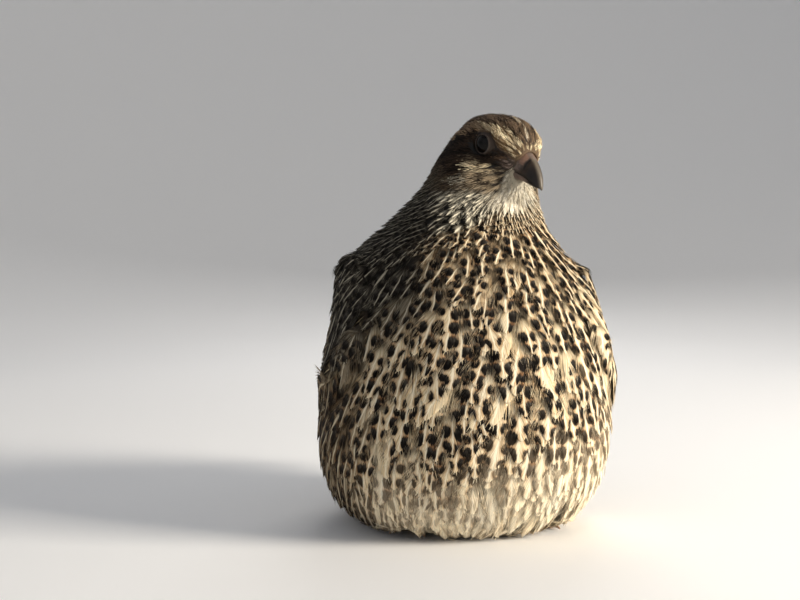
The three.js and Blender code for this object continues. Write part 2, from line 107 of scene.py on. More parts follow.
class Surface:
    """A triangle mesh that finds the nearest point on itself, with its normal and unwrap."""

    def __init__(self, points, triangles, unwrap=None):
        self.points = points
        self.triangles = triangles
        self.unwrap = unwrap
        corners = points[triangles]
        flat = np.cross(corners[:, 1] - corners[:, 0], corners[:, 2] - corners[:, 0])
        self.areas = np.linalg.norm(flat, axis=1) / 2
        summed = np.zeros_like(points)
        for corner in range(3):
            np.add.at(summed, triangles[:, corner], flat)
        self.normals = unit(summed)
        self.tree = BVHTree.FromPolygons(points.tolist(), triangles.tolist())

    def weights(self, spots, faces):
        """How near each spot is to the three corners of its triangle."""
        a, b, c = np.moveaxis(self.points[self.triangles[faces]], 1, 0)
        ab, ac, ap = b - a, c - a, spots - a
        d00, d01, d11 = (ab * ab).sum(1), (ab * ac).sum(1), (ac * ac).sum(1)
        d20, d21 = (ap * ab).sum(1), (ap * ac).sum(1)
        whole = np.maximum(d00 * d11 - d01 * d01, 1e-12)
        v = (d11 * d20 - d01 * d21) / whole
        w = (d00 * d21 - d01 * d20) / whole
        return np.clip(np.stack([1 - v - w, v, w], 1), 0, 1)[:, :, None]

    def near(self, spots):
        """Nearest points, smooth normals and faces."""
        found = [self.tree.find_nearest(spot) for spot in spots.tolist()]
        places = np.array([f[0][:] for f in found])
        faces = np.array([f[2] for f in found])
        shares = self.weights(places, faces)
        normals = unit((self.normals[self.triangles[faces]] * shares).sum(1))
        return places, normals, faces

    def unwrapped(self, spots):
        places, _, faces = self.near(spots)
        shares = self.weights(places, faces)
        return (self.unwrap[faces] * shares).sum(1) / shares.sum(1)

    def distance(self, spots):
        return np.array([self.tree.find_nearest(spot)[3] for spot in spots.tolist()])


def mesh_arrays(mesh):
    """Points in millimetres, triangles, and the loops that the triangles use."""
    points = np.zeros(len(mesh.vertices) * 3)
    mesh.vertices.foreach_get("co", points)
    mesh.calc_loop_triangles()
    triangles = np.zeros(len(mesh.loop_triangles) * 3, int)
    mesh.loop_triangles.foreach_get("vertices", triangles)
    loops = np.zeros(len(mesh.loop_triangles) * 3, int)
    mesh.loop_triangles.foreach_get("loops", loops)
    return points.reshape(-1, 3) / MM, triangles.reshape(-1, 3), loops.reshape(-1, 3)


def fused(names, voxel, rounds):
    """A mesh over several nodes, each grown a little so that the gaps between them close."""
    grown = 0.2 * MM
    whole = bmesh.new()
    for name in names:
        part = bmesh.new()
        part.from_mesh(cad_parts[name].data)
        bmesh.ops.remove_doubles(part, verts=part.verts, dist=1e-6)
        part.normal_update()
        for vertex in part.verts:
            vertex.co += vertex.normal * grown
        copy = bpy.data.meshes.new(name + "_copy")
        part.to_mesh(copy)
        part.free()
        whole.from_mesh(copy)
        bpy.data.meshes.remove(copy)
    mesh = bpy.data.meshes.new("fused")
    whole.to_mesh(mesh)
    whole.free()
    thing = bpy.data.objects.new("fused", mesh)
    bpy.context.scene.collection.objects.link(thing)
    remesh = thing.modifiers.new("remesh", "REMESH")
    remesh.mode = "VOXEL"
    remesh.voxel_size = voxel * MM
    even = thing.modifiers.new("even", "SMOOTH")
    even.factor = 0.5
    even.iterations = rounds
    graph = bpy.context.evaluated_depsgraph_get()
    made = bpy.data.meshes.new_from_object(thing.evaluated_get(graph))
    bpy.data.objects.remove(thing)
    return made


def add_object(name, mesh):
    thing = bpy.data.objects.new(name, mesh)
    bpy.context.scene.collection.objects.link(thing)
    return thing


def new_mesh(name, points, triangles):
    mesh = bpy.data.meshes.new(name)
    mesh.vertices.add(len(points))
    mesh.vertices.foreach_set("co", (points * MM).astype(np.float32).ravel())
    mesh.loops.add(triangles.size)
    mesh.loops.foreach_set("vertex_index", triangles.astype(np.int32).ravel())
    mesh.polygons.add(len(triangles))
    mesh.polygons.foreach_set("loop_start", np.arange(0, triangles.size, 3, dtype=np.int32))
    mesh.update(calc_edges=True)
    return mesh


def band_faces(rings, sides, first=0, flipped=False):
    """Triangles between closed rings of points that follow each other."""
    ring, place = np.divmod(np.arange((rings - 1) * sides), sides)
    a = first + ring * sides + place
    b = first + ring * sides + (place + 1) % sides
    faces = np.concatenate([np.stack([a, b, b + sides], 1), np.stack([a, b + sides, a + sides], 1)])
    return faces[:, ::-1] if flipped else faces


def cap_faces(middle, first, sides):
    """Triangles that close a ring round the point in its middle."""
    place = np.arange(sides)
    return np.stack([np.full(sides, middle), first + (place + 1) % sides, first + place], 1)


def give(mesh, name, kind, values):
    """Stores one value or vector for each vertex, under a name that materials read."""
    layer = mesh.attributes.new(name, kind, "POINT")
    field = {"FLOAT": "value", "FLOAT_VECTOR": "vector", "FLOAT_COLOR": "color"}[kind]
    layer.data.foreach_set(field, np.ascontiguousarray(values, dtype=np.float32).ravel())


def give_colour(mesh, name, colours):
    give(mesh, name, "FLOAT_COLOR", np.hstack([colours, np.ones((len(colours), 1))]))


def add_piece(name, points, faces, look, slot, replaced=None, **numbers):
    """A smooth closed piece with a material that reads the numbers given for each vertex."""
    mesh = new_mesh(name, points, faces)
    mesh.shade_smooth()
    for key, values in numbers.items():
        give(mesh, key, "FLOAT", values)
    mesh.materials.append(look)
    thing = add_object(name, mesh)
    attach(thing, "root")
    if replaced:
        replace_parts(thing, replaced)
    return thing


# Colours of ground and pale marks, and how strong spots, shaft, bars and fringe are and how broad
# the shaft's streak is
PLAIN = (0, 0, 0, 0, 0.2)
PLUMAGE = {
    "breast": ((206, 187, 152), (238, 228, 204), (1, 0.8, 0, 0.3, 0.045)),
    "collar": ((146, 123, 91), (236, 222, 192), (1, 0.9, 0, 0.3, 0.055)),
    "belly": ((228, 215, 186), (246, 238, 217), (0.45, 0.35, 0, 0.3, 0.05)),
    "shoulder": ((12, 9, 7), (178, 169, 150), (1, 0.8, 0.1, 0.05, 0.05)),
    "flank": ((122, 101, 74), (212, 198, 168), (0.85, 0.85, 0.3, 0.2, 0.05)),
    "back": ((46, 33, 23), (222, 202, 160), (0, 0.95, 0.7, 0.3, 0.07)),
    "wing": ((50, 37, 26), (204, 182, 140), (0, 0.9, 0.75, 0.4, 0.04)),
    "rump": ((62, 47, 33), (176, 152, 114), (0, 0.5, 0.6, 0.3, 0.05)),
    "neck": ((16, 12, 9), (238, 228, 204), (0.2, 0.95, 0, 0.1, 0.15)),
    "nape": ((24, 17, 12), (140, 116, 88), (0, 0.25, 0, 0.1, 0.08)),
    "throat": ((206, 196, 174), (232, 225, 208), (0, 0, 0, 0, 0.14)),
    "crown": ((8, 6, 5), (134, 112, 90), (0, 0, 0, 0, 0.1)),
    "stripe": ((170, 154, 128), (240, 230, 208), PLAIN),
    "brow": ((112, 86, 56), (250, 234, 196), PLAIN),
    "line": ((78, 60, 44), (172, 146, 114), PLAIN),
    "lore": ((36, 26, 20), (104, 82, 64), PLAIN),
    "bare": ((80, 66, 58), (158, 138, 126), PLAIN),
    "ear": ((14, 11, 9), (54, 42, 33), PLAIN),
    "cheek": ((42, 33, 26), (178, 160, 132), PLAIN),
    "patch": ((58, 44, 32), (246, 228, 190), PLAIN),
}
TONES = list(PLUMAGE)

# Field marks of the head: tone, how far forward, aside and up of the eyes' middle, and spread
HEAD_MARKS = [
    ("crown", -4, 0, 8.5, 4.2),
    ("crown", 4, 1.5, 7.6, 2.8),
    ("crown", 6.4, 2.6, 6.4, 1.9),
    ("crown", 8.5, 0.5, 5.1, 1.6),
    ("crown", -10, 2, 6, 4),
    ("crown", -4, 5.4, 7.4, 2.8),
    ("crown", 1.4, 4.4, 7.4, 2),
    ("crown", -9, 6.5, 4, 2.6),
    ("brow", 10.8, 1.4, 2.3, 1.6),
    ("brow", 9.4, 4.2, 1.8, 2.1),
    ("brow", 7, 6.5, 3.2, 2.2),
    ("brow", 4.8, 7.2, 4.6, 1.8),
    ("brow", 1.4, 7.7, 5.2, 1.6),
    ("brow", -2.6, 8.3, 5, 1.4),
    ("line", -5.4, 9.6, 2.9, 1),
    ("line", -9.6, 9.6, 1.2, 1.1),
    ("line", -2.4, 9.6, 3.4, 0.7),
    ("line", 4.2, 8.2, 2, 1),
    ("line", -13, 9, -1.6, 1.6),
    ("lore", 5.8, 7.6, 0.2, 1.6),
    ("lore", 8, 6, -0.2, 1.2),
    ("bare", 8.5, 5.2, -2.2, 1.6),
    ("ear", -4.4, 11.6, -1.6, 3.2),
    ("ear", -9, 11.4, -4.2, 2.8),
    ("ear", 1.4, 10.8, -3.6, 1.9),
    ("ear", 4.8, 8.8, -3.9, 1.5),
    ("patch", 0.6, 13.7, -5.8, 1.5),
    ("patch", 2.8, 12.3, -5.8, 1.6),
    ("patch", 5, 11, -6.8, 1.4),
    ("ear", -1.8, 15.4, -7.8, 2.1),
    ("line", -4.4, 15.8, -8.4, 1.2),
    ("ear", -6.8, 16, -9.6, 2.3),
    ("cheek", 7.4, 8, -7, 2.4),
    ("cheek", 4.8, 12.4, -9.6, 2.8),
    ("cheek", 8.6, 9.8, -10.6, 2.6),
    ("ear", 5.6, 15.2, -12.4, 1.8),
    ("cheek", 7, 14, -13.6, 2.4),
    ("throat", 10.6, 1.4, -8.4, 3.2),
    ("throat", 10, 4.6, -9, 1.8),
    ("throat", 11.4, 2, -13, 4.4),
    ("throat", 12.6, 7, -13.8, 3),
    ("neck", 2.6, 17.6, -12.6, 2.6),
    ("ear", -8, 15, -14, 3),
    ("crown", -17, 5, -6, 4),
]
EYE_AT = [0.8, 6.8, 0.6]  # forward, aside, up
EYE_RADIUS = 3.8
EYE_SIDES = 56
EYE_TURN = math.radians(9)  # how far the eyes look forwards
CORNEA = 0.28  # how far the clear front bulges
LID_GRAIN = 0.07
LID_EDGE = (2.76, 2.95)  # radii between which the lids turn into feathered skin
EYE_SPOTS = from_head([[EYE_AT[0] + 0.3, side * 9.6, EYE_AT[2]] for side in (-1, 1)])
MEDIAN_STRIPE = 0.24  # half width of the crown's pale line
STRIPE_FROM = 6.2  # height over the eyes
HEAD_REACH = 20.5  # from the eyes' middle to where the neck begins

THROAT_PATCH = np.array([8.4, -48.5, 95.8])  # middle of the white throat
THROAT_RADII = np.array([10.6, 7.5, 5.2])
THROAT_TONE = (0.75, 1.0)  # reach over which its colour ends
THROAT_COAT = (0.8, 1.1)  # reach over which its feathers end
WING_START = math.radians(60)  # round the body from the breast
WING_ROUND = 46.0  # body radius along the wing
WING_HEIGHT = {1: 63, -1: 66}  # the left one's and the right one's
WING_SLOPE = math.radians(15)

LIE_SOURCE = np.array([7.0, -42.0, 104.0])  # the body's feathers lead away from here
BILL_ROOT = np.array([11.0, 0.0, -2.0])  # and the head's from here, in the head's frame
BILL_SPOT = from_head([12.5, 0, -3.5])


def on_head(points):
    """1 on the head and 0 from the neck down."""
    forward, aside, up = to_head(points).T
    reach = np.sqrt((forward + 2) ** 2 + (0.9 * aside) ** 2 + (up + 1) ** 2)
    return 1 - smooth(HEAD_REACH - 3, HEAD_REACH, reach)


def around(points):
    """Degrees round the body from the breast, to the bird's left."""
    x, y = (points[:, :2] - BODY_MIDDLE).T
    return np.degrees(np.arctan2(x, -y))


def wander(points, scale, seed):
    """A slow, even wave over space between -1 and 1."""
    draw = np.random.RandomState(seed)
    total = np.zeros(len(points))
    for _ in range(4):
        way = unit(draw.normal(size=3)) * 2 * math.pi / (scale * draw.uniform(0.7, 1.4))
        total += np.sin(points @ way + draw.uniform(0, 6.28))
    return total / 2.6


def neck_level(points):
    """Height, lowered towards the left in front, where the breast reaches up to the throat."""
    x, _, z = points.T
    front = 1 - smooth(80, 120, np.abs(around(points)))
    return z - np.where(x > -2, 0.36, 0.2) * (x + 2) * front


def throat_reach(points):
    """0 in the middle of the white throat and 1 on its border."""
    return np.linalg.norm((points - THROAT_PATCH) / THROAT_RADII, axis=1)


def raised(points):
    """How much the coat stands over the outline before the eyes."""
    forward = to_head(points)[:, 0]
    eyes = np.zeros(len(points))
    for spot in EYE_SPOTS:
        near = 1 - smooth(3.4, 5.8, np.linalg.norm(points - spot, axis=1))
        eyes = np.maximum(eyes, near * smooth(0.5, 2.5, forward - EYE_AT[0]))
    return 0.5 * eyes


def tone_shares(points):
    """How much of each tone a place has, as columns in the order of TONES."""
    x, y, z = points.T
    turn = around(points)
    shares = np.zeros((len(points), len(TONES)))
    put = {name: shares[:, i] for i, name in enumerate(TONES)}

    drift = wander(points, 26, 3)
    behind = smooth(92, 122, np.abs(turn) + 6 * drift)
    # The dark side tone begins further forward on the bird's right (turn < 0) than on its left:
    # partly its plumage and partly painted shade of the side away from the key light.
    dark_from = np.where(turn < 0, lerp(50, 22, smooth(44, 76, z)), lerp(86, 66, smooth(36, 64, z)))
    aside = smooth(-13, 15, np.abs(turn) - dark_from + 6 * drift) * (1 - behind)
    high = smooth(38, 56, z + 3 * drift)
    low = 1 - smooth(6, 40, z + 4 * drift - 0.28 * x)
    put["back"] += behind * smooth(22, 36, z)
    put["rump"] += behind * (1 - smooth(22, 36, z)) * 0.4
    put["flank"] += aside * (1 - high) + behind * (1 - smooth(22, 36, z)) * 0.6
    put["shoulder"] += aside * high
    front = (1 - behind) * (1 - aside)
    collar = smooth(58, 80, z + 3 * drift)
    put["belly"] += front * low
    put["collar"] += front * collar
    put["breast"] += front * (1 - low) * (1 - collar)

    neck = smooth(85, 90, neck_level(points) + 1.6 * drift)
    shares *= (1 - neck)[:, None]
    # The right side of the neck takes the dark shoulder tone: partly its plumage and partly painted
    # shade of that side.
    shaded = smooth(9, 18, -x) * (1 - behind)
    drops = (1 - smooth(96, 99.5, z)) * (1 - behind)
    put["neck"] += neck * (1 - shaded) * drops
    put["nape"] += neck * (1 - shaded) * (1 - drops)
    put["shoulder"] += neck * shaded
    white = 1 - smooth(*THROAT_TONE, throat_reach(points))
    shares *= (1 - white)[:, None]
    put["throat"] += white

    head = on_head(points)
    marks = np.zeros_like(shares)
    half = folded(to_head(points))
    for name, forward, side, up, spread in HEAD_MARKS:
        away = ((half - [forward, side, up]) ** 2).sum(1)
        marks[:, TONES.index(name)] += spread**1.25 * np.exp(-3 * away / spread**2)
    stripe = (half[:, 1] < MEDIAN_STRIPE) & (half[:, 2] > STRIPE_FROM)
    marks[stripe, TONES.index("stripe")] += 12
    marks **= 1.6
    marks /= np.maximum(marks.sum(1, keepdims=True), 1e-12)
    return shares * (1 - head)[:, None] + marks * head[:, None]


def markings(points, seed, vary=0.06, tone=None):
    """Ground and pale colours and the strengths for feathers rooted at these points."""
    shares = tone_shares(points)
    if tone:
        shares = shares * 0.25 + 0.75 * np.eye(len(TONES))[TONES.index(tone)]
    grounds = np.array([linear(*PLUMAGE[t][0]) for t in TONES])
    pales = np.array([linear(*PLUMAGE[t][1]) for t in TONES])
    strengths = np.array([PLUMAGE[t][2] for t in TONES], float)
    draw = np.random.RandomState(seed)
    light = np.exp(draw.normal(0, vary, (len(points), 1)))
    warm = np.exp(draw.normal(0, vary / 2, (len(points), 1)) * [0.2, -0.2, -1.0])
    ground, pale, strength = shares @ grounds, shares @ pales, shares @ strengths
    # Feathers without a drawn shaft differ as a whole: some are ground and others are pale
    plain = np.clip(1 - 2 * strength[:, 1:2], 0, 1) * (vary > 0)
    whole = smooth(0.35, 0.7, draw.uniform(0, 1, (len(points), 1)))
    to_pale, to_ground = 0.85 * whole * plain, 0.7 * (1 - whole) * plain
    ground, pale = lerp(ground, pale, to_pale), lerp(pale, ground, to_ground)
    strength[:, 4] *= np.exp(draw.normal(0, 4 * vary, len(points)))
    return ground * light * warm, pale * np.sqrt(light), strength


def lie(points, normals):
    """The way that feathers point: back from the bill, down from the throat and on to the tail."""
    q = to_head(points)
    head = unit(q - BILL_ROOT) + [-0.55, 0, 0]
    head[:, 2] -= 0.5 * (1 - smooth(-6, -3, q[:, 2]))
    head = unit(head) @ HEAD_AXES
    _, y, z = points.T
    body = unit(points - LIE_SOURCE)
    body[:, 1] += 0.75 * smooth(-45, -5, y)
    body[:, 2] *= lerp(1, 0.75, smooth(55, 75, z) * smooth(5, 25, -points[:, 0]))
    body[:, 2] -= 0.2 * (1 - smooth(55, 75, z)) + 0.45 * smooth(-36, -20, y) * smooth(60, 90, z)
    body[:, 0] -= 0.16 * np.sign(points[:, 0] - 1) * (1 - smooth(8, 30, z)) * smooth(30, 50, -y)
    share = on_head(points)[:, None]
    way = unit(head * share + unit(body) * (1 - share))
    way = unit(way - normals * (way * normals).sum(1, keepdims=True))
    for spot in EYE_SPOTS:
        towards = spot - points
        near = 1 - smooth(4.2, 7.5, np.linalg.norm(towards, axis=1))
        towards = unit(towards - normals * (towards * normals).sum(1, keepdims=True))
        inwards = np.maximum((way * towards).sum(1), 0) * near * 0.92
        way = unit(way - towards * inwards[:, None])
    return way


def coat_depth(points):
    """How far the skin lies inside the outline."""
    neck = smooth(84, 98, points[:, 2])
    return lerp(lerp(1.9, 1.1, neck), 0.45, on_head(points))


# Materials


class Value:
    """A number or colour in a material. Sums and products with it become Math nodes."""

    def __init__(self, nodes, socket):
        self.nodes = nodes
        self.socket = socket

    def __add__(self, other):
        return self.nodes.math("ADD", self, other)

    def __sub__(self, other):
        return self.nodes.math("SUBTRACT", self, other)

    def __rsub__(self, other):
        return self.nodes.math("SUBTRACT", other, self)

    def __mul__(self, other):
        return self.nodes.math("MULTIPLY", self, other)

    def __truediv__(self, other):
        return self.nodes.math("DIVIDE", self, other)


class Nodes:
    """A material's nodes, written as calls that return values."""

    def __init__(self, name):
        self.material = bpy.data.materials.new(name)
        self.material.use_nodes = True
        self.tree = self.material.node_tree
        self.shader = self.tree.nodes["Principled BSDF"]

    def put(self, value, socket):
        if isinstance(value, Value):
            self.tree.links.new(value.socket, socket)
        else:
            socket.default_value = value

    def add(self, kind, inputs=(), **settings):
        """A new node's outputs."""
        node = self.tree.nodes.new("ShaderNode" + kind)
        for key, value in settings.items():
            setattr(node, key, value)
        for key, value in dict(inputs).items():
            self.put(value, node.inputs[key])
        return [Value(self, socket) for socket in node.outputs]

    def read(self, name):
        """What the mesh carries under this name, as colour, vector, number and alpha."""
        return self.add("Attribute", attribute_name=name)

    def number(self, name):
        return self.read(name)[2]

    def colour(self, name):
        return self.read(name)[0]

    def place(self):
        return self.add("NewGeometry")[0]

    def math(self, operation, *values):
        return self.add("Math", enumerate(values), operation=operation)[0]

    def step(self, low, high, value):
        """0 to 1 as value goes from low to high."""
        inputs = {"Value": value, "From Min": low, "From Max": high}
        return self.add("MapRange", inputs, interpolation_type="SMOOTHSTEP")[0]

    def mix(self, factor, a, b, blend="MIX"):
        return self.add("Mix", {0: factor, 6: a, 7: b}, data_type="RGBA", blend_type=blend)[2]

    def tint(self, colour, value):
        """The colour with its brightness multiplied."""
        return self.add("HueSaturation", {"Color": colour, "Value": value})[0]

    def warmed(self, colour):
        """The colour turned darker and towards rust."""
        return self.mix(1.0, colour, RUST, "MULTIPLY")

    def noise(self, scale, detail=3.0, vector=None):
        inputs = {"Scale": scale, "Detail": detail, "Vector": vector or self.place()}
        return self.add("TexNoise", inputs)[0]

    def streaks(self, run, seat, off, count):
        """Noise drawn out along the barbs, with about count streaks on a feather's side."""
        return self.noise(1.0, 2.0, self.add("CombineXYZ", {0: run * count, 1: seat, 2: off})[0])

    def bump(self, height, strength, distance):
        inputs = {"Height": height, "Strength": strength, "Distance": distance * MM}
        return self.add("Bump", inputs)[0]

    def surface(self, **inputs):
        names = {"color": "Base Color", "ior": "IOR", "specular": "Specular IOR Level",
                 "coat": "Coat Weight"}
        for key, value in inputs.items():
            name = names.get(key, key.replace("_", " ").title())
            self.put(value, self.shader.inputs[name])
        return self.material


def paint(red, green, blue):
    """A colour given in 0 to 255 for a node."""
    return (*linear(red, green, blue), 1)


SPOT = paint(15, 10, 7)
DOWN = paint(60, 52, 45)
VEIL = paint(128, 122, 112)
RUST = (0.72, 0.54, 0.4, 1)
BARB_SLANT = 0.85  # how far along a barb has run when it reaches the edge


def plumage_material():
    """Feathers: spots in pairs beside the shaft, a pale shaft, bars, fringe and barb streaks."""
    n = Nodes("plumage")
    across, along, barb = n.add("SeparateXYZ", {0: n.read("place")[1]})
    own, breadth = n.number("own"), n.number("breadth")
    ground, pale = n.colour("ground"), n.colour("pale")
    spots, shafts, bars = n.add("SeparateColor", {0: n.colour("strengths")})
    fringe = n.read("strengths")[3]
    off = n.math("ABSOLUTE", across)
    side = n.math("SIGN", across)

    # Streaks that follow the barbs from the shaft to the edge
    root = along - off * BARB_SLANT
    seat = own * 61 + side
    fine = n.streaks(root, seat, off, 40)
    broad = n.streaks(root, seat, off, 13)
    brightness = fine * 2.4 - 0.2 + (barb - 0.5) * 0.22
    colour = n.tint(ground, brightness)
    hairs = n.step(0.35, 0.75, barb) * n.step(0.3, 0.05, shafts)
    colour = n.mix(hairs * 0.8, colour, n.tint(pale, brightness))
    colour = n.mix(n.step(0.5, 0.68, broad) * 0.45, colour, n.warmed(colour))
    colour = n.mix(n.step(0.62, 0.76, fine) * 0.45 * shafts, colour, SPOT)
    light = n.step(0.6, 0.4, broad) * (shafts - bars * 0.85)
    colour = n.mix(light * 0.45, colour, pale)

    # Dark blotches, pale bars, and dark borders along the shafts of barred feathers
    blotch = n.step(0.2, 0.9, n.math("SINE", along * 7 + own * 51)) * bars
    colour = n.mix(blotch * 0.9, colour, SPOT)
    ripple = n.math("SINE", own * 37 + along * 26 - off * 3) + (broad - 0.5) * 2
    bar = n.step(0.35, 0.8, ripple) * bars * n.step(0.08, 0.25, off)
    colour = n.mix(bar, colour, n.tint(pale, 0.6))
    colour = n.mix(n.step(0.34, 0.16, off) * bars * 1.1, colour, SPOT)
    round_edge = off * n.math("MINIMUM", bars * 3, 1.0)
    edge = n.step(0.68, 0.95, n.math("MAXIMUM", round_edge, along * 2.4 - 1.4))
    colour = n.mix(edge * fringe, colour, pale)

    # Two pairs of round spots, the upper one mostly under the next feathers
    rust = n.warmed(n.warmed(ground))
    lot = n.math("FRACT", own * 31.7 + side * 0.23)
    size = lot * 0.5 + 0.77
    present = n.step(0.0, 1.0, spots) * n.step(-0.1, 0.4, spots - own * 0.5)
    present = present * n.step(0.03, 0.07, n.math("FRACT", lot * 7.3))
    for level, share in ((0.72, 1.0), (0.43, 0.95)):
        x = (off - n.math("FRACT", lot * 11.9) * 0.2 - 0.38) / (0.34 * share)
        y = (along - n.math("FRACT", lot * 17.3) * 0.13 - level) / (0.12 * share)
        reach = n.math("SQRT", x * x + y * y) / size
        reach = reach + (fine - 0.5) * 0.5 + (broad - 0.5) * 0.7
        veil = n.step(0.2, -0.7, y) * n.step(0.4, 0.6, fine)
        dark = n.mix(veil * 0.25, SPOT, VEIL)
        colour = n.mix((1 - n.step(1.1, 1.6, reach)) * present * 0.45, colour, rust)
        colour = n.mix((1 - n.step(0.94, 1.2, reach)) * present, colour, dark)

    # The shaft's pale streak, which wavers, is broadest before its end and starts above the down
    waves = n.noise(1.0, vector=n.add("CombineXYZ", {0: along * 5, 1: own * 83})[0])
    off = n.math("ABSOLUTE", across + (waves - 0.5) * 0.22)
    width = (n.step(0.15, 0.6, along) * 0.75 + 0.25) * (1 - n.step(0.66, 0.95, along) * 0.75)
    width = width * breadth * (fine * 1.4 + 0.4)
    colour = n.mix((1 - n.step(0.4, 1.7, off / width)) * shafts, colour, pale)
    down = n.mix(0.35, n.tint(ground, 0.55), DOWN)
    colour = n.mix(1 - n.step(0.08, 0.38, along), colour, down)
    return n.surface(color=colour, roughness=0.8, specular=0.12)


def skin_material():
    """The skin under the feathers, with the coat's own colours darkened unevenly to about half as
    painted shade of the gaps between feathers, and spots of the same size.
    """
    n = Nodes("quail_skin")
    spots = n.add("SeparateColor", {0: n.colour("strengths")})[0]
    cells = n.add("TexVoronoi", {"Vector": n.place(), "Scale": 190.0})[0]
    spot = (1 - n.step(0.22, 0.34, cells)) * spots
    fine = n.noise(900.0, 4.0)
    # The coat's ground, darkened unevenly to about half: painted shade of the gaps where the skin
    # shows between feathers.
    colour = n.mix(spot * 0.8, n.tint(n.colour("ground"), fine * 0.4 + 0.3), SPOT)
    return n.surface(color=colour, roughness=0.8, normal=n.bump(fine, 0.5, 0.3))


# Feathers

# Places along and across one feather's sheet, and along one barb with its width there
VANE_ROWS = np.array([0.03, 0.2, 0.36, 0.5, 0.62, 0.73, 0.82, 0.89, 0.93])
VANE_COLUMNS = np.array([-1.0, -0.55, 0.0, 0.55, 1.0])
VANE_FULLNESS = np.array([1.0, 0.8, 0.68, 0.62, 0.56, 0.5, 0.42, 0.3, 0.08])  # of the outline
VANE_THICKNESS = 0.1
BARB_STATIONS = np.array([0.0, 0.5, 1.0])
BARB_WIDTHS = np.array([0.6, 1.0, 0.0])
BARB_START = 0.25  # share of the way from the shaft to the edge
PATCH = 0.003  # size of one feather on the unwrap


def outline_width(along):
    """Half width of a feather's outline, as a share of its widest."""
    widest = 0.58
    lower = np.clip(along / widest, 0, 1) ** 0.55
    upper = np.clip(1 - (np.clip(along - widest, 0, 1) / (1.001 - widest)) ** 2.2, 0, 1) ** 0.62
    return lower * upper


def drape(lay, x, y, height):
    """Points on each feather for distances across and along it, and heights over it.

    lay holds, for each feather: curve (three coefficients of the middle line on the outline),
    sides and normals at root and tip, length, half width, depth of its root, cup and lift.
    """
    spread = (slice(None),) + (None,) * (x.ndim - 1)
    names = ("length", "half", "depth", "lift", "cup")
    length, half, depth, lift, cup = (lay[name][spread] for name in names)
    t = y / length
    curve = lay["curve"][spread]
    run = t[..., None]
    middle = curve[..., 0, :] + curve[..., 1, :] * run + curve[..., 2, :] * run**2
    share = np.clip(run, 0, 1.1)
    sides = unit(lerp(lay["sides"][:, 0][spread], lay["sides"][:, 1][spread], share))
    normals = unit(lerp(lay["normals"][:, 0][spread], lay["normals"][:, 1][spread], share))
    climb = height - depth * np.clip(1 - t, 0, 1) ** 1.1 + lift * np.clip(t, 0, 1.2) ** 2
    climb = climb - cup * half * (x / half) ** 2
    return middle + sides * x[..., None] + normals * climb[..., None]


def grid_faces(rows, columns):
    """Triangles of a closed sheet: an upper grid of points, a lower one and the border."""
    under = rows * columns
    faces = []
    for r in range(rows - 1):
        for c in range(columns - 1):
            a, b = r * columns + c, (r + 1) * columns + c
            faces += [(a, b, b + 1), (a, b + 1, a + 1)]
            faces += [(under + a, under + b + 1, under + b)]
            faces += [(under + a, under + a + 1, under + b + 1)]
    flat = len(faces)
    border = [(0, c) for c in range(columns - 1)] + [(r, columns - 1) for r in range(rows - 1)]
    border += [(rows - 1, c) for c in range(columns - 1, 0, -1)]
    border += [(r, 0) for r in range(rows - 1, 0, -1)]
    ring = [r * columns + c for r, c in border]
    for a, b in zip(ring, ring[1:] + ring[:1]):
        faces += [(a, b, under + b), (a, under + b, under + a)]
    return np.array(faces), flat


def blade_faces(stations):
    """Triangles of one closed three-sided blade that ends in a point."""
    faces = []
    for k in range(stations - 2):
        for corner in range(3):
            a, b = 3 * k + corner, 3 * k + (corner + 1) % 3
            faces += [(a, b, a + 3), (b, b + 3, a + 3)]
    last, tip = 3 * (stations - 2), 3 * (stations - 1)
    for corner in range(3):
        faces.append((last + corner, last + (corner + 1) % 3, tip))
    faces.append((0, 2, 1))
    return np.array(faces)


def packed(points, place, barb, faces, smooth_faces):
    """Flat arrays from the points and values of each feather's pieces."""
    count, pieces, corners = points.shape[:3]
    step = corners * np.arange(count * pieces)[:, None, None]
    values = np.concatenate([place, np.broadcast_to(barb, (*place.shape[:3], 1))], -1)
    return {
        "points": points.reshape(-1, 3),
        "triangles": (faces[None] + step).reshape(-1, 3),
        "smooth": np.tile(smooth_faces, count * pieces),
        "place": values.reshape(-1, 3),
        "feather": np.repeat(np.arange(count), pieces * corners),
    }


def vane_mesh(lay, draw):
    """One thin closed sheet for each feather, with an uneven edge."""
    count = len(lay["length"])
    wide = outline_width(VANE_ROWS) * VANE_FULLNESS
    across = (wide[:, None] * VANE_COLUMNS).ravel()
    along = np.repeat(VANE_ROWS, len(VANE_COLUMNS))
    across = across * draw.uniform(0.86, 1.1, (count, len(across)))
    x = across * lay["half"][:, None]
    y = along * lay["length"][:, None]
    points = np.concatenate([drape(lay, x, y, 0.0), drape(lay, x, y, -VANE_THICKNESS)], 1)
    place = np.stack([across, np.broadcast_to(along, across.shape)], -1)
    place = np.concatenate([place, place], 1)[:, None]
    faces, flat = grid_faces(len(VANE_ROWS), len(VANE_COLUMNS))
    return packed(points[:, None], place, np.full(1, 0.5), faces, np.arange(len(faces)) < flat)


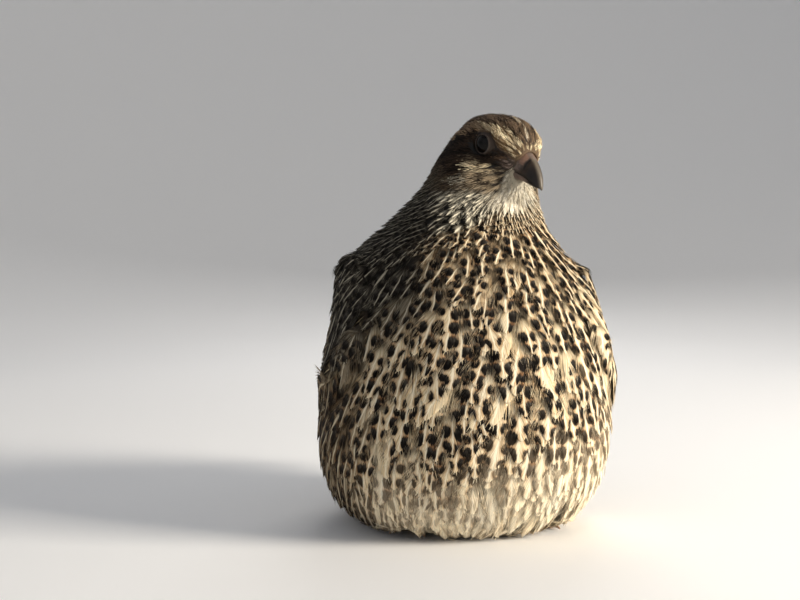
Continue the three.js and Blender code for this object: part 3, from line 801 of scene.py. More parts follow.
def barb_mesh(lay, barbs, draw, first, fray, ridge, slope, overlap, start_share):
    """Barbs on both sides of each shaft as closed blades, and the shaft itself."""
    count = len(lay["length"])
    length = lay["length"][:, None, None]
    half = lay["half"][:, None, None]
    ends = lerp(first, 0.99, np.linspace(0, 1, barbs) ** 0.85)
    ends = np.concatenate([ends, ends + 0.3 / (2 * barbs), [0.99]])
    side = np.concatenate([-np.ones(barbs), np.ones(barbs), [0]])
    total = len(side)
    reach = outline_width(np.minimum(ends, 0.997)) * np.abs(side)
    start = ends - reach * lay["half"][:, None] / (lay["length"][:, None] * slope)
    start = np.maximum(start, 0.02)
    start[:, -1] = 0.0

    # Each barb strays a little, in place, length and height, and a few are long
    stray = fray * np.abs(side)
    jump = draw.normal(0, 0.02, (count, total)) * stray
    spread = 1 + draw.normal(0, 0.1, (count, total)) * stray
    spread += 0.3 * stray * (draw.uniform(0, 1, (count, total)) < 0.08)
    raised = draw.normal(0.02, 0.05, (count, total)) * stray

    run = np.where(side[:, None] == 0, BARB_STATIONS, lerp(start_share, 1, BARB_STATIONS))[None]
    along = lerp(start[:, :, None], ends[:, None], run**1.25)
    across = (side * reach)[:, None] * run**0.85 * np.ones((count, 1, 1))
    place = np.stack([across, along], -1)
    x = across * half * spread[:, :, None]
    y = (along + jump[:, :, None] * run) * length

    run_x = np.gradient(x, axis=2)
    run_y = np.gradient(y, axis=2)
    size = np.sqrt(run_x**2 + run_y**2) + 1e-9
    pitch = lay["length"][:, None] * (0.99 - first) / barbs * slope
    girth = overlap * 0.5 * pitch * (1 + draw.uniform(-0.2, 0.2, (count, total)))
    girth[:, -1] = 0.04 + 0.004 * lay["length"]
    girth = girth[:, :, None] * BARB_WIDTHS
    corner = np.array([-1.0, 0.0, 1.0])
    x = x[..., None] - (run_y / size * girth)[..., None] * corner
    y = y[..., None] + (run_x / size * girth)[..., None] * corner
    height = raised[:, :, None, None] * run[..., None]
    height = height + ridge * np.array([0.0, 1.0, 0.0]) * BARB_WIDTHS[:, None]
    points = drape(lay, x, y, height)

    # Stations have three corners but the last, which is the tip
    keep = 3 * (len(BARB_STATIONS) - 1) + 1
    points = points.reshape(count, total, -1, 3)[:, :, :keep]
    place = np.repeat(place[:, :, :, None], 3, axis=3).reshape(count, total, -1, 2)[:, :, :keep]
    barb = draw.uniform(0, 1, (count, total, 1, 1))
    barb[:, -1] = 0.5
    faces = blade_faces(len(BARB_STATIONS))
    return packed(points, place, barb, faces, np.zeros(len(faces), bool))


def joined(parts):
    """Feather arrays of several kinds as one. A part without own values shares the last one's."""
    corner = feather = 0
    whole = {key: [] for key in parts[0]}
    for part in parts:
        for key, value in part.items():
            moved = {"triangles": corner, "feather": feather}.get(key)
            whole[key].append(value if moved is None else value + moved)
        corner += len(part["points"])
        feather += len(part.get("own", ()))
    return {key: np.concatenate(values) for key, values in whole.items()}


def feather_mesh(lay, barbs, seed, first=0.45, fray=1.0, vane=True, ridge=0.04, slope=0.32,
                 overlap=1.5, start_share=BARB_START):
    """Points, triangles and values of many feathers at once."""
    draw = np.random.RandomState(seed)
    made = barb_mesh(lay, barbs, draw, first, fray, ridge, slope, overlap, start_share)
    if vane:
        made = joined([vane_mesh(lay, draw), made])
    made["own"] = draw.uniform(0, 1, len(lay["length"]))
    return made


def laid_on(surface, roots, way, length, steps=4):
    """Middle lines of feathers that follow the surface, as quadratics, with their end frames."""
    places, normals, _ = surface.near(roots)
    line = [places]
    first_normals = normals
    for _ in range(steps):
        way = unit(way - normals * (way * normals).sum(1, keepdims=True))
        places, normals, _ = surface.near(places + way * (length / steps)[:, None])
        line.append(places)
        follow = lie(places, normals)
        way = unit(0.8 * way + 0.2 * follow)
    line = np.stack(line, 1)
    return fit_curve(line), first_normals, normals


def fit_curve(line):
    """Least squares quadratic through equal steps, which starts at the first point."""
    t = np.linspace(0, 1, line.shape[1])
    basis = np.stack([t, t * t], 1)
    rest = np.einsum("kj,fjc->fkc", np.linalg.pinv(basis), line - line[:, :1])
    return np.concatenate([line[:, :1], rest], 1)


def end_frames(curve, normals0, normals1):
    """Sides at root and tip from the line's own run, and normals squared to it."""
    sides = []
    squared = []
    for run, normal in ((curve[:, 1], normals0), (curve[:, 1] + 2 * curve[:, 2], normals1)):
        run = unit(run)
        normal = unit(normal - run * (run * normal).sum(1, keepdims=True))
        sides.append(np.cross(run, normal))
        squared.append(normal)
    return np.stack(sides, 1), np.stack(squared, 1)


def scatter(surface, share, spacing, seed, density=14):
    """Random places on the surface that keep their spacing, where share allows it."""
    draw = np.random.RandomState(seed)
    centres = surface.points[surface.triangles].mean(1)
    weight = surface.areas * np.clip(share(centres), 0, 1)
    gap = spacing(centres)
    count = int(density * (weight / gap**2).sum())
    chance = weight / gap**2
    faces = draw.choice(len(centres), count, p=chance / chance.sum())
    u, v = draw.uniform(0, 1, (2, count))
    fold = u + v > 1
    u[fold], v[fold] = 1 - u[fold], 1 - v[fold]
    a, b, c = np.moveaxis(surface.points[surface.triangles[faces]], 1, 0)
    spots = a + (b - a) * u[:, None] + (c - a) * v[:, None]
    gap = spacing(spots)
    tree = KDTree(count)
    for i, spot in enumerate(spots.tolist()):
        tree.insert(spot, i)
    tree.balance()
    alive = np.ones(count, bool)
    kept = []
    for i in range(count):
        if alive[i]:
            kept.append(i)
            for _, other, _ in tree.find_range(spots[i], gap[i]):
                alive[other] = False
    return spots[kept]


def turned(way, normals, degrees):
    """The ways turned about their normals."""
    angle = np.radians(degrees)[:, None]
    return way * np.cos(angle) + np.cross(normals, way) * np.sin(angle)


plumage = plumage_material()
bare_skin = skin_material()


def add_coat(name, made, roots, seed, tone=None):
    """One mesh object of feathers with their values, colours and unwrap."""
    ground, pale, strengths = markings(roots, seed, tone=tone)
    points = made["points"].copy()
    points[:, 2] = np.maximum(points[:, 2], FLOOR_CLEARANCE)
    mesh = new_mesh(name, points, made["triangles"])
    mesh.polygons.foreach_set("use_smooth", made["smooth"])
    feather = made["feather"]
    give(mesh, "place", "FLOAT_VECTOR", made["place"])
    give(mesh, "own", "FLOAT", made["own"][feather])
    give_colour(mesh, "ground", ground[feather])
    give_colour(mesh, "pale", pale[feather])
    give(mesh, "strengths", "FLOAT_COLOR", strengths[feather, :4])
    give(mesh, "breadth", "FLOAT", strengths[feather, 4])
    centre = skin_surface.unwrapped(roots)[feather]
    patch = centre + PATCH * (made["place"][:, :2] - [0, 0.5]) * [0.5, 1]
    layer = mesh.uv_layers.new(name="OFBake")
    layer.data.foreach_set("uv", patch[made["triangles"].ravel()].astype(np.float32).ravel())
    mesh.materials.append(plumage)
    thing = add_object(name, mesh)
    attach(thing, "root")
    return thing


# Skin

skin_mesh = fused(["torso", "neck", "head"], 1.0, 5)
skin = add_object("quail_skin", skin_mesh)
bpy.context.view_layer.objects.active = skin
skin.select_set(True)
bpy.ops.object.mode_set(mode="EDIT")
bpy.ops.mesh.select_all(action="SELECT")
bpy.ops.uv.smart_project(angle_limit=math.radians(66), island_margin=0.004)
bpy.ops.object.mode_set(mode="OBJECT")
skin_mesh.uv_layers[0].name = "OFBake"
skin_points, skin_triangles, skin_loops = mesh_arrays(skin_mesh)
unwrap = np.zeros(len(skin_mesh.loops) * 2)
skin_mesh.uv_layers[0].data.foreach_get("uv", unwrap)
skin_surface = Surface(skin_points, skin_triangles, unwrap.reshape(-1, 2)[skin_loops])

inner = skin_points - skin_surface.normals * coat_depth(skin_points)[:, None]
inner[:, 2] = np.maximum(inner[:, 2], FLOOR_CLEARANCE)
skin_mesh.vertices.foreach_set("co", (inner * MM).astype(np.float32).ravel())
skin_mesh.update()
skin_mesh.shade_smooth()
skin_ground, _, skin_strengths = markings(skin_points, 5, 0.0)
give_colour(skin_mesh, "ground", skin_ground)
give(skin_mesh, "strengths", "FLOAT_COLOR", skin_strengths[:, :4])
skin_mesh.materials.clear()
skin_mesh.materials.append(bare_skin)
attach(skin, "root")
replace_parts(skin, "torso", "neck", "head")

# Where body feathers may grow: on the outline with wings and tail, but not on these
over_mesh = fused(["torso", "neck", "head", "wing_left", "wing_right", "tail"], 1.2, 8)
over_points, over_triangles, _ = mesh_arrays(over_mesh)
over = Surface(over_points, over_triangles)
apart = [mesh_arrays(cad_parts[n].data)[:2] for n in ("wing_left", "wing_right", "tail")]
apart = [Surface(points, triangles) for points, triangles in apart]


def apart_from_wings(points):
    return np.min([part.distance(points) for part in apart[:2]], axis=0)


def off_wings(points):
    """0 on the wings behind their front edges and on the tail, 1 elsewhere."""
    keep = np.ones(len(points))
    for part, side in zip(apart, (1, -1, 0)):
        near = 1 - smooth(0.3, 1.2, part.distance(points))
        if side:
            run = (side * np.radians(around(points)) - WING_START) * WING_ROUND
            climb = points[:, 2] - WING_HEIGHT[side]
            along = run * math.cos(WING_SLOPE) - climb * math.sin(WING_SLOPE)
            up = climb * math.cos(WING_SLOPE) + run * math.sin(WING_SLOPE)
            near *= smooth(6, 12, along) * smooth(-15, -10, up)
        keep *= 1 - near
    return keep


def off_bare(points):
    """0 on the eyes, the bill and the mouth, 1 elsewhere."""
    keep = np.ones(len(points))
    for spot in EYE_SPOTS:
        keep *= smooth(2.65, 2.95, np.linalg.norm(points - spot, axis=1))
    forward, aside, up = to_head(points).T
    keep *= smooth(3.6, 4.4, np.linalg.norm(points - BILL_SPOT, axis=1))
    chin = np.stack([forward - 11.2, np.maximum(np.abs(aside) - 1.4, 0), up + 5.4], 1)
    keep *= smooth(2.4, 3.0, np.linalg.norm(chin, axis=1))
    mouth = (np.abs(up + 4.3 - 0.1 * (forward - 7)) < 0.45) & (forward > 4.5) & (np.abs(aside) > 5)
    return keep * ~mouth


def neck_share(points):
    return smooth(86, 91, neck_level(points))


def throat_share(points):
    return 1 - smooth(*THROAT_COAT, throat_reach(points))


def grow(name, slot, share, spacing, size, barbs, seed, ratio=0.31, tilt=12.0, lift=(0.0, 0.16),
         cup=0.07, seen=0.0, **looks):
    """Feathers of one kind over the part of the coat that share picks.

    seen is how far along a feather the tones are looked up that it takes.
    """
    roots = scatter(over, share, spacing, seed)
    places, normals, _ = over.near(roots)
    draw = np.random.RandomState(seed + 1)
    count = len(roots)
    length = size(places) * draw.uniform(0.82, 1.18, count)
    way = turned(lie(places, normals), normals, draw.normal(0, tilt, count))
    curve, first, last = laid_on(over, places, way, length)
    higher = raised(places)
    curve[:, 0] += normals * higher[:, None]
    sideways = np.cross(way, normals) * (draw.normal(0, 0.07, count) * length)[:, None]
    curve[:, 1] -= sideways
    curve[:, 2] += sideways
    sides, squared = end_frames(curve, first, last)
    lay = {
        "curve": curve,
        "sides": sides,
        "normals": squared,
        "length": length,
        "half": length * ratio * draw.uniform(0.88, 1.12, count),
        "depth": higher + lerp(0.6, coat_depth(places), smooth(0.5, 3.5, apart_from_wings(places))),
        "lift": draw.uniform(*lift, count),
        "cup": np.full(count, cup),
    }
    made = feather_mesh(lay, barbs, seed + 2, **looks)
    return add_coat(name, made, places + way * (seen * length)[:, None], seed + 3)


def smaller(points):
    """The low breast's feathers are smaller than those of flanks and back."""
    front = 1 - smooth(48, 66, np.abs(around(points)))
    return 1 - 0.13 * front * (1 - smooth(44, 72, points[:, 2]))


def body_length(points):
    z = points[:, 2]
    return lerp(lerp(8.5, 16.0, smooth(4, 26, z)), 10.0, smooth(48, 84, z)) * smaller(points)


def body_spacing(points):
    z = points[:, 2]
    return lerp(lerp(2.7, 4.4, smooth(4, 26, z)), 3.1, smooth(48, 84, z)) * smaller(points)


def belly_length(points):
    return lerp(11.0, 15.0, smooth(3, 20, points[:, 2]))


def neck_length(points):
    return lerp(7.0, 4.8, smooth(84, 94, points[:, 2]))


def head_length(points):
    """The shortest feathers are round the bill."""
    return lerp(2.4, 6.4, smooth(3.5, 16, np.linalg.norm(points - BILL_SPOT, axis=1)))


def even(value):
    """The same value at every point."""
    return lambda points: np.full(len(points), value)


def sector(low, high):
    """The part of the body between two turns from the breast."""
    def share(points):
        turn = around(points)
        inside = (turn >= low) & (turn < high)
        return inside * (1 - neck_share(points)) * (1 - belly_share(points)) * off_wings(points)
    return share


def belly_share(points):
    """1 low on the belly, where the feathers are downy."""
    low = 1 - smooth(10, 30, points[:, 2] + 3 * wander(points, 22, 8))
    front = 1 - smooth(95, 120, np.abs(around(points)))
    return low * front * smooth(0.2, 1.0, points[:, 2])


for name, low, high, seed in (
    ("breast_feathers_right", -60, 0, 100),
    ("breast_feathers_left", 0, 60, 110),
    ("flank_feathers_right", -120, -60, 120),
    ("flank_feathers_left", 60, 120, 130),
    ("back_feathers_right", -181, -120, 140),
    ("back_feathers_left", 120, 181, 150),
):
    grow(name, "breast_plumage" if abs(low + high) < 300 else "back_plumage",
         sector(low, high), body_spacing, body_length, 19, seed, tilt=15, seen=0.5, first=0.48)

for side, name, seed in ((-1, "right", 170), (1, "left", 180)):
    grow("belly_feathers_" + name, "breast_plumage",
         lambda p: belly_share(p) * (side * around(p) > 0), even(3.8), belly_length, 14, seed,
         ratio=0.19, tilt=15, lift=(0.1, 1.0), seen=0.5, first=0.15, fray=2.4, slope=0.2,
         overlap=1.3)

grow("neck_feathers", "head_plumage",
     lambda p: neck_share(p) * (1 - on_head(p)) * (1 - throat_share(p)), even(1.7), neck_length,
     6, 200, tilt=18, lift=(0.1, 0.5), seen=0.75)
grow("throat_feathers", "head_plumage", lambda p: throat_share(p) * (1 - on_head(p)), even(0.95),
     even(5.6), 5, 250, ratio=0.17, tilt=8, lift=(0, 0.2), first=0.3, slope=0.24,
     start_share=0.0, seen=0.75)
for side, name, seed in ((-1, "right", 300), (1, "left", 310)):
    grow("head_feathers_" + name, "head_plumage",
         lambda p: on_head(p) * off_bare(p) * (side * to_head(p)[:, 1] > 0), even(0.78),
         head_length, 5, seed, ratio=0.12, tilt=7, lift=(0.0, 0.22), vane=False, first=0.2,
         slope=0.2, start_share=0.0, overlap=1.2, seen=0.75)

# Wings

# Height, middle x, widest y, half width, front y and back y of the body where the wings lie
WING_BED = np.array([
    [18.6, -1, -17.2, 43, -62.8, 39.3],
    [30.7, -0.4, -17.2, 44, -65.7, 45.4],
    [42.8, 0, -17.2, 41.8, -66.1, 46.6],
    [54.9, -0.2, -18.1, 38.8, -64.6, 39.8],
    [66, -0.8, -19.6, 36.2, -61.8, 26.5],
    [75.3, -1.7, -19.8, 33.8, -58.6, 15.8],
    [80.9, -2.2, -19.2, 31.4, -56.3, 9.2],
    [89, -1.6, -26.6, 23.6, -52.4, -5.8],
])
WING_CORE = {"start": 9, "length": 45, "up": 15, "down": 15, "rise": 1.0, "sunk": 0.6}
# Tiers, lower ones first: feathers, first and last root along and up, length, width, first and
# last turn in degrees, height over the body, depth of the root, barbs on a side
WING_TIERS = [
    (7, (35, -13), (43, -4), 39, 7.6, (2, 9), 1.4, 0.8, 26),
    (9, (15, -15), (32, 6), 36, 8.6, (-2, 4), 1.8, 0.9, 24),
    (5, (24, 3), (31, 13), 33, 10.2, (-1, -6), 2.4, 0.9, 22),
    (9, (7, -14), (24, 8), 18, 8.4, (-8, -2), 2.5, 0.9, 15),
    (8, (3, -12), (17, 9), 14.5, 8.2, (-12, -2), 2.5, 0.9, 13),
    (7, (-1, -10), (11, 10), 12, 7.6, (-16, -3), 2.2, 1.1, 12),
    (7, (-5, -6), (5, 11), 10.5, 7.0, (-20, -4), 1.7, 1.2, 11),
    (6, (3, 11), (25, 13), 19, 9.0, (-4, -8), 1.8, 1.2, 15),
    (6, (2, 14), (27, 18), 18, 9.0, (-4, -12), 1.3, 1.4, 15),
]


def wing_bed(side, along, up):
    """Points and normals on the body for places on one wing, in wing millimetres."""
    run = along * math.cos(WING_SLOPE) + up * math.sin(WING_SLOPE)
    climb = up * math.cos(WING_SLOPE) - along * math.sin(WING_SLOPE)
    turn = side * (WING_START + run / WING_ROUND)
    height = WING_HEIGHT[side] + climb
    table = [np.interp(height, WING_BED[:, 0], WING_BED[:, k]) for k in range(1, 6)]
    middle, wide, half, front, back = table
    ahead = np.cos(turn)
    x = middle + half * np.sign(np.sin(turn)) * np.abs(np.sin(turn)) ** 0.92
    y = np.where(ahead > 0, wide + (front - wide) * np.abs(ahead) ** 0.92,
                 wide + (back - wide) * np.abs(ahead) ** 1.1)
    places, normals, _ = skin_surface.near(np.stack([x, y, height], 1))
    return places, normals


def tier_lay(places_on, roots, turns, length, width, rise, depth, seed):
    """Feathers of one tier. places_on gives points and normals for arrays of along and up."""
    draw = np.random.RandomState(seed)
    count = len(roots)
    lengths = length * draw.uniform(0.95, 1.04, count)
    turns = np.radians(turns + draw.normal(0, 1.2, count))
    steps = np.linspace(0, 1, 6)
    along = roots[:, :1] + np.cos(turns)[:, None] * lengths[:, None] * steps
    up = roots[:, 1:] + np.sin(turns)[:, None] * lengths[:, None] * steps
    places, normals = places_on(along.ravel(), up.ravel())
    shingle = 0.22 * (np.arange(count) % 2) + draw.uniform(0, 0.12, count)
    line = places + normals * (rise + np.repeat(shingle, len(steps)))[:, None]
    line = line.reshape(count, len(steps), 3)
    normals = normals.reshape(count, len(steps), 3)
    curve = fit_curve(line)
    sides, squared = end_frames(curve, normals[:, 0], normals[:, -1])
    return line[:, 0], {
        "curve": curve,
        "sides": sides,
        "normals": squared,
        "length": lengths,
        "half": np.full(count, width / 2) * draw.uniform(0.95, 1.05, count),
        "depth": np.full(count, depth),
        "lift": draw.uniform(0, 0.2, count),
        "cup": np.full(count, 0.09),
    }


def add_bed(name, points, faces, replaced):
    """A smooth closed bed for feathers, coloured as the plumage over it and darkened by the skin
    material as painted shade.
    """
    thing = add_piece(name, points, faces, bare_skin, "back_plumage", replaced)
    ground, _, strengths = markings(points, 6, 0.0, "wing")
    give_colour(thing.data, "ground", ground)
    give(thing.data, "strengths", "FLOAT_COLOR", strengths[:, :4])


for side, name in ((1, "wing_left"), (-1, "wing_right")):
    steps, across = 20, 12
    ts = np.linspace(0, 1, steps + 1)
    spread = np.sqrt(np.maximum(0.02, 1 - (2 * ts - 0.92) ** 2 / 1.18))
    vs = np.linspace(0, 1, across + 1)
    along = np.repeat(WING_CORE["start"] + WING_CORE["length"] * ts, across + 1)
    up = (lerp(-WING_CORE["down"], WING_CORE["up"], vs)[None, :] * spread[:, None]).ravel()
    swell = (np.sin(math.pi * (0.06 + 0.88 * vs))[None, :] * spread[:, None]).ravel()
    places, normals = wing_bed(side, along, up)
    top = places + normals * (WING_CORE["rise"] * swell)[:, None]
    bottom = places - normals * WING_CORE["sunk"]
    faces, _ = grid_faces(steps + 1, across + 1)
    add_bed(name + "_bed", np.concatenate([top, bottom]), faces, name)
    tiers, roots = [], []
    for k, (count, first, last, length, width, turn, rise, depth, barbs) in enumerate(WING_TIERS):
        t = np.linspace(0, 1, count)[:, None]
        seed = 400 + 20 * k + side
        spots = lerp(np.array(first), np.array(last), t)
        at, lay = tier_lay(lambda a, u: wing_bed(side, a, u), spots, lerp(*turn, t[:, 0]),
                           length, width, rise, depth, seed)
        tiers.append(feather_mesh(lay, barbs, seed, 0.3, 0.35, slope=0.5))
        roots.append(at)
    roots = np.concatenate(roots)
    coat = add_coat(name + "_feathers", joined(tiers), roots, 600 + side, "wing")
    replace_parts(coat, name)

# Tail

TAIL_ROOT = np.array([0.0, 36.8, 50.5])
TAIL_DROP = math.radians(39)
TAIL_BACK = np.array([0.0, math.cos(TAIL_DROP), -math.sin(TAIL_DROP)])
TAIL_UP = np.array([0.0, math.sin(TAIL_DROP), math.cos(TAIL_DROP)])
TAIL_ARCH = 40.0
TAIL_FAN = 6.5  # degrees between one feather and the next
TAIL_CORE = {"radii": (13.0, 15.0, 6.0), "back": 5.0, "down": 4.5}
# Rows, lower ones first: feathers, start, length, width, fan, height, droop to the sides, barbs
TAIL_ROWS = [
    (6, 4, 24, 9, 2.0, -6.2, 0.2, 16),
    (5, 0, 20, 9, 2.2, -7.2, 0.2, 14),
    (12, 0, 38, 7.6, 0.84, 0.6, 0.3, 24),
    (8, 9, 21, 8.4, 1.3, 1.8, 0.3, 15),
    (8, 3, 20, 8.4, 1.4, 2.5, 0.3, 15),
    (7, -3, 19, 8.4, 1.6, 3.1, 0.3, 15),
    (6, -9, 18, 8.4, 1.9, 3.6, 0.3, 15),
]


def tail_bed(along, across):
    """Points and normals of the fan's plane, which falls off to its sides."""
    places = TAIL_ROOT + np.outer(along, TAIL_BACK) + np.outer(across, [1, 0, 0])
    places = places - np.outer(across**2 / TAIL_ARCH, TAIL_UP)
    return places, unit(TAIL_UP + np.outer(2 * across / TAIL_ARCH, [1, 0, 0]))


def ellipsoid_mesh(radii, centre, axes, rings=20, sides=32):
    """A closed ball with its three radii along the axes."""
    polar = np.repeat(math.pi * np.arange(1, rings) / rings, sides)
    turn = np.tile(2 * math.pi * np.arange(sides) / sides, rings - 1)
    ball = np.stack([np.sin(polar) * np.cos(turn), np.sin(polar) * np.sin(turn), np.cos(polar)], 1)
    points = np.concatenate([[[0, 0, 1]], ball, [[0, 0, -1]]])
    last = 1 + (rings - 2) * sides
    faces = [cap_faces(0, 1, sides)[:, ::-1], cap_faces(len(points) - 1, last, sides),
             band_faces(rings - 1, sides, 1, flipped=True)]
    return points * radii @ np.array(axes) + centre, np.concatenate(faces)


core_at = tail_bed(np.array([TAIL_CORE["back"]]), np.zeros(1))[0][0] - TAIL_UP * TAIL_CORE["down"]
points, faces = ellipsoid_mesh(TAIL_CORE["radii"], core_at, [[1, 0, 0], TAIL_BACK, TAIL_UP])
add_bed("tail_bed", points, faces, "tail")
rows, roots = [], []
for k, (count, start, length, width, fan, height, droop, barbs) in enumerate(TAIL_ROWS):
    places = np.arange(count) - (count - 1) / 2
    turns = TAIL_FAN * fan * places
    heights = height - droop * np.abs(places) * 12 / count
    spots = np.stack([np.full(count, float(start)), 0.5 * np.radians(turns) * 6], 1)
    at, lay = tier_lay(tail_bed, spots, turns, length - 0.3 * places**2, width, 0.0, 0.8, 700 + k)
    lay["curve"][:, 0] += np.outer(heights, TAIL_UP)
    rows.append(feather_mesh(lay, barbs, 720 + k, 0.3, 0.2, slope=0.5))
    roots.append(at)
roots = np.concatenate(roots)
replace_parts(add_coat("tail_feathers", joined(rows), roots, 740, "wing"), "tail")

# Eyes


def lathe(profile, centre, axis, sides=64):
    """A body turned about an axis from pairs of radius and distance along it."""
    first = unit(np.cross(axis, UPWARDS))
    second = np.cross(axis, first)
    turns = 2 * math.pi * np.arange(sides) / sides
    ring = np.outer(np.cos(turns), first) + np.outer(np.sin(turns), second)
    points = np.concatenate([centre + radius * ring + out * axis for radius, out in profile])
    return points, band_faces(len(profile), sides)


def closed_ring(profile, centre, axis, sides=72):
    """A ring whose profile joins up with its own start."""
    points, faces = lathe([*profile, profile[0]], centre, axis, sides)
    count = len(profile) * sides
    return points[:count], np.where(faces >= count, faces - count, faces)


def eye_material():
    """A dark brown iris round a black pupil, under a wet clear front."""
    n = Nodes("eye_ball")
    polar = n.number("polar")
    iris = n.mix(n.noise(2600.0, 4.0), paint(8, 6, 5), paint(18, 13, 10))
    dark = n.math("MAXIMUM", 1 - n.step(20.0, 22.5, polar), n.step(35.0, 41.0, polar))
    colour = n.mix(dark, iris, (0.002, 0.002, 0.002, 1))
    return n.surface(color=colour, roughness=0.05, ior=1.36, specular=0.25)


def lid_material():
    """Grey bare lids with fine grains, and dark brown skin round them."""
    n = Nodes("eye_lid")
    grain = n.noise(1900.0)
    colour = n.mix(grain, paint(30, 25, 22), paint(78, 67, 59))
    colour = n.mix(n.number("skirt"), colour, paint(44, 33, 25))
    return n.surface(color=colour, roughness=0.6, specular=0.3, normal=n.bump(grain, 0.7, 0.15))


eye_look = eye_material()
lid_look = lid_material()
LID_PROFILE = [
    (2.45, 2.85), (2.47, 3.0), (2.53, 3.08), (2.62, 3.08), (2.72, 3.0), (2.8, 2.84), (2.95, 2.6),
    (3.15, 2.35), (3.38, 2.0), (3.62, 1.5), (3.78, 1.0), (3.84, 0.5), (3.6, 0.5), (3.4, 1.2),
    (3.0, 1.9), (2.6, 2.4),
]
for side, name in ((1, "left"), (-1, "right")):
    centre = from_head([EYE_AT[0], side * EYE_AT[1], EYE_AT[2]])
    axis = np.array([math.sin(EYE_TURN), side * math.cos(EYE_TURN), 0]) @ HEAD_AXES
    polar = np.linspace(0.0, math.pi, 40)
    polar[0], polar[-1] = 0.001, math.pi - 0.001
    radius = EYE_RADIUS + CORNEA * (1 - smooth(0, 40, np.degrees(polar)))
    profile = np.stack([radius * np.sin(polar), radius * np.cos(polar)], 1)[::-1]
    points, faces = lathe(profile, centre, axis, EYE_SIDES)
    add_piece("eyeball_" + name, points, faces, eye_look, "eye", "eye_" + name,
              polar=np.degrees(np.repeat(polar[::-1], EYE_SIDES)))
    points, faces = closed_ring(LID_PROFILE, centre, axis)
    points = points + unit(points - centre) * (LID_GRAIN * wander(points, 1.1, 9))[:, None]
    off_axis = np.linalg.norm(np.cross(points - centre, axis), axis=1)
    add_piece("lids_" + name, points, faces, lid_look, "bare_skin",
              skirt=smooth(*LID_EDGE, off_axis))

# Bill

BILL_TIP = (19.6, -6.4)
BILL_BASE = (7.4, -4.0)
BILL_HEIGHTS = {"upper": 5.5, "lower": -2.2}
BILL_HALF = 3.3
BILL_SWELL = 0.5  # at the base, where it meets the feathers
MOUTH_GAP = 0.17
# The nostril's flap and the furrows under and before it: place, size and swell
NOSTRIL_SWELLS = [
    ((10.9, 2.5, -1.0), (1.8, 1.6, 1.3), 0.55),
    ((12.2, 2.7, -2.0), (1.5, 1.4, 0.42), -0.5),
    ((12.9, 1.9, -0.4), (0.4, 1.4, 1.3), -0.4),
]


def mouth_line(share, bend):
    """Height of the mouth for a share of the bill's length."""
    return lerp(BILL_BASE[1], BILL_TIP[1], share**bend)


def bill_points(half_name, steps=44, sides=48):
    """One half of the bill, tapering along a curve that bends down to the tip."""
    upper = half_name == "upper"
    height = BILL_HEIGHTS[half_name]
    reach = 1.0 if upper else 0.9
    t = ((np.arange(steps + 1) / steps) ** 0.8 * reach)[:, None]
    angle = 2 * math.pi * np.arange(sides) / sides
    over, under = np.maximum(0, np.sin(angle)), np.minimum(0, np.sin(angle))
    forward = lerp(BILL_BASE[0], BILL_TIP[0], t)
    mouth = mouth_line(t, 2.6) + MOUTH_GAP if upper else mouth_line(t, 2.2) - MOUTH_GAP
    taper = np.maximum(0.008, 1 - (t / reach) ** 2) ** 0.68
    swell = BILL_SWELL * (1 - smooth(8.5, 12.8, forward))
    half = BILL_HALF * taper * (1.0 if upper else 0.86) + swell
    rise = (height * taper + math.copysign(1, height) * swell) * over**0.92
    rise = rise + math.copysign(0.15, height) * under
    aside = half * np.cos(angle)
    points = np.stack([forward + 0 * angle, aside, mouth + rise], -1).reshape(-1, 3)
    for at, size, swell in NOSTRIL_SWELLS if upper else ():
        away = (((folded(points) - at) / size) ** 2).sum(1)
        points[:, 1] += np.sign(points[:, 1]) * swell * np.exp(-away)
    count = len(points)
    faces = [band_faces(steps + 1, sides), cap_faces(count, 0, sides),
             cap_faces(count + 1, count - sides, sides)[:, ::-1]]
    ends = [points[:sides].mean(0), points[-sides:].mean(0)]
    return np.concatenate([points, ends]), np.concatenate(faces)


def bill_material():
    """Dark horn, with pinkish brown skin over the nostrils and grey at the gape, a pale culmen that
    is partly painted highlight, and painted shade in the nostril's slit and along the mouth line.
    """
    n = Nodes("bill_horn")
    grain, fine = n.noise(700.0, 5.0), n.noise(2400.0)
    horn = n.mix(grain, paint(26, 19, 14), paint(58, 43, 31))
    horn = n.mix(n.number("tip"), horn, n.mix(grain, paint(15, 11, 9), paint(32, 23, 18)))
    # Pale along the culmen: partly the culmen's own pale base and partly a painted highlight along
    # the bill's top.
    horn = n.mix(n.number("ridge") * 0.5, horn, paint(158, 146, 128))
    grey = n.mix(fine, paint(62, 52, 46), paint(128, 110, 100))
    soft = n.mix(fine, paint(86, 62, 50), paint(150, 118, 100))
    colour = n.mix(n.number("cere"), n.mix(n.number("gape"), horn, grey), soft)
    # Near-black painted shade in the nostril's furrows and along the mouth line.
    colour = n.mix(n.number("slit"), colour, (0.006, 0.004, 0.003, 1))
    return n.surface(color=colour, roughness=0.42, specular=0.3, coat=0.05, coat_roughness=0.3,
                     normal=n.bump(grain, 0.5, 0.25))


def bell(value, middle, width):
    return np.exp(-(((value - middle) / width) ** 2))


def window(value, low, high):
    """1 between the two ranges and 0 outside them."""
    return smooth(*low, value) * (1 - smooth(*high, value))


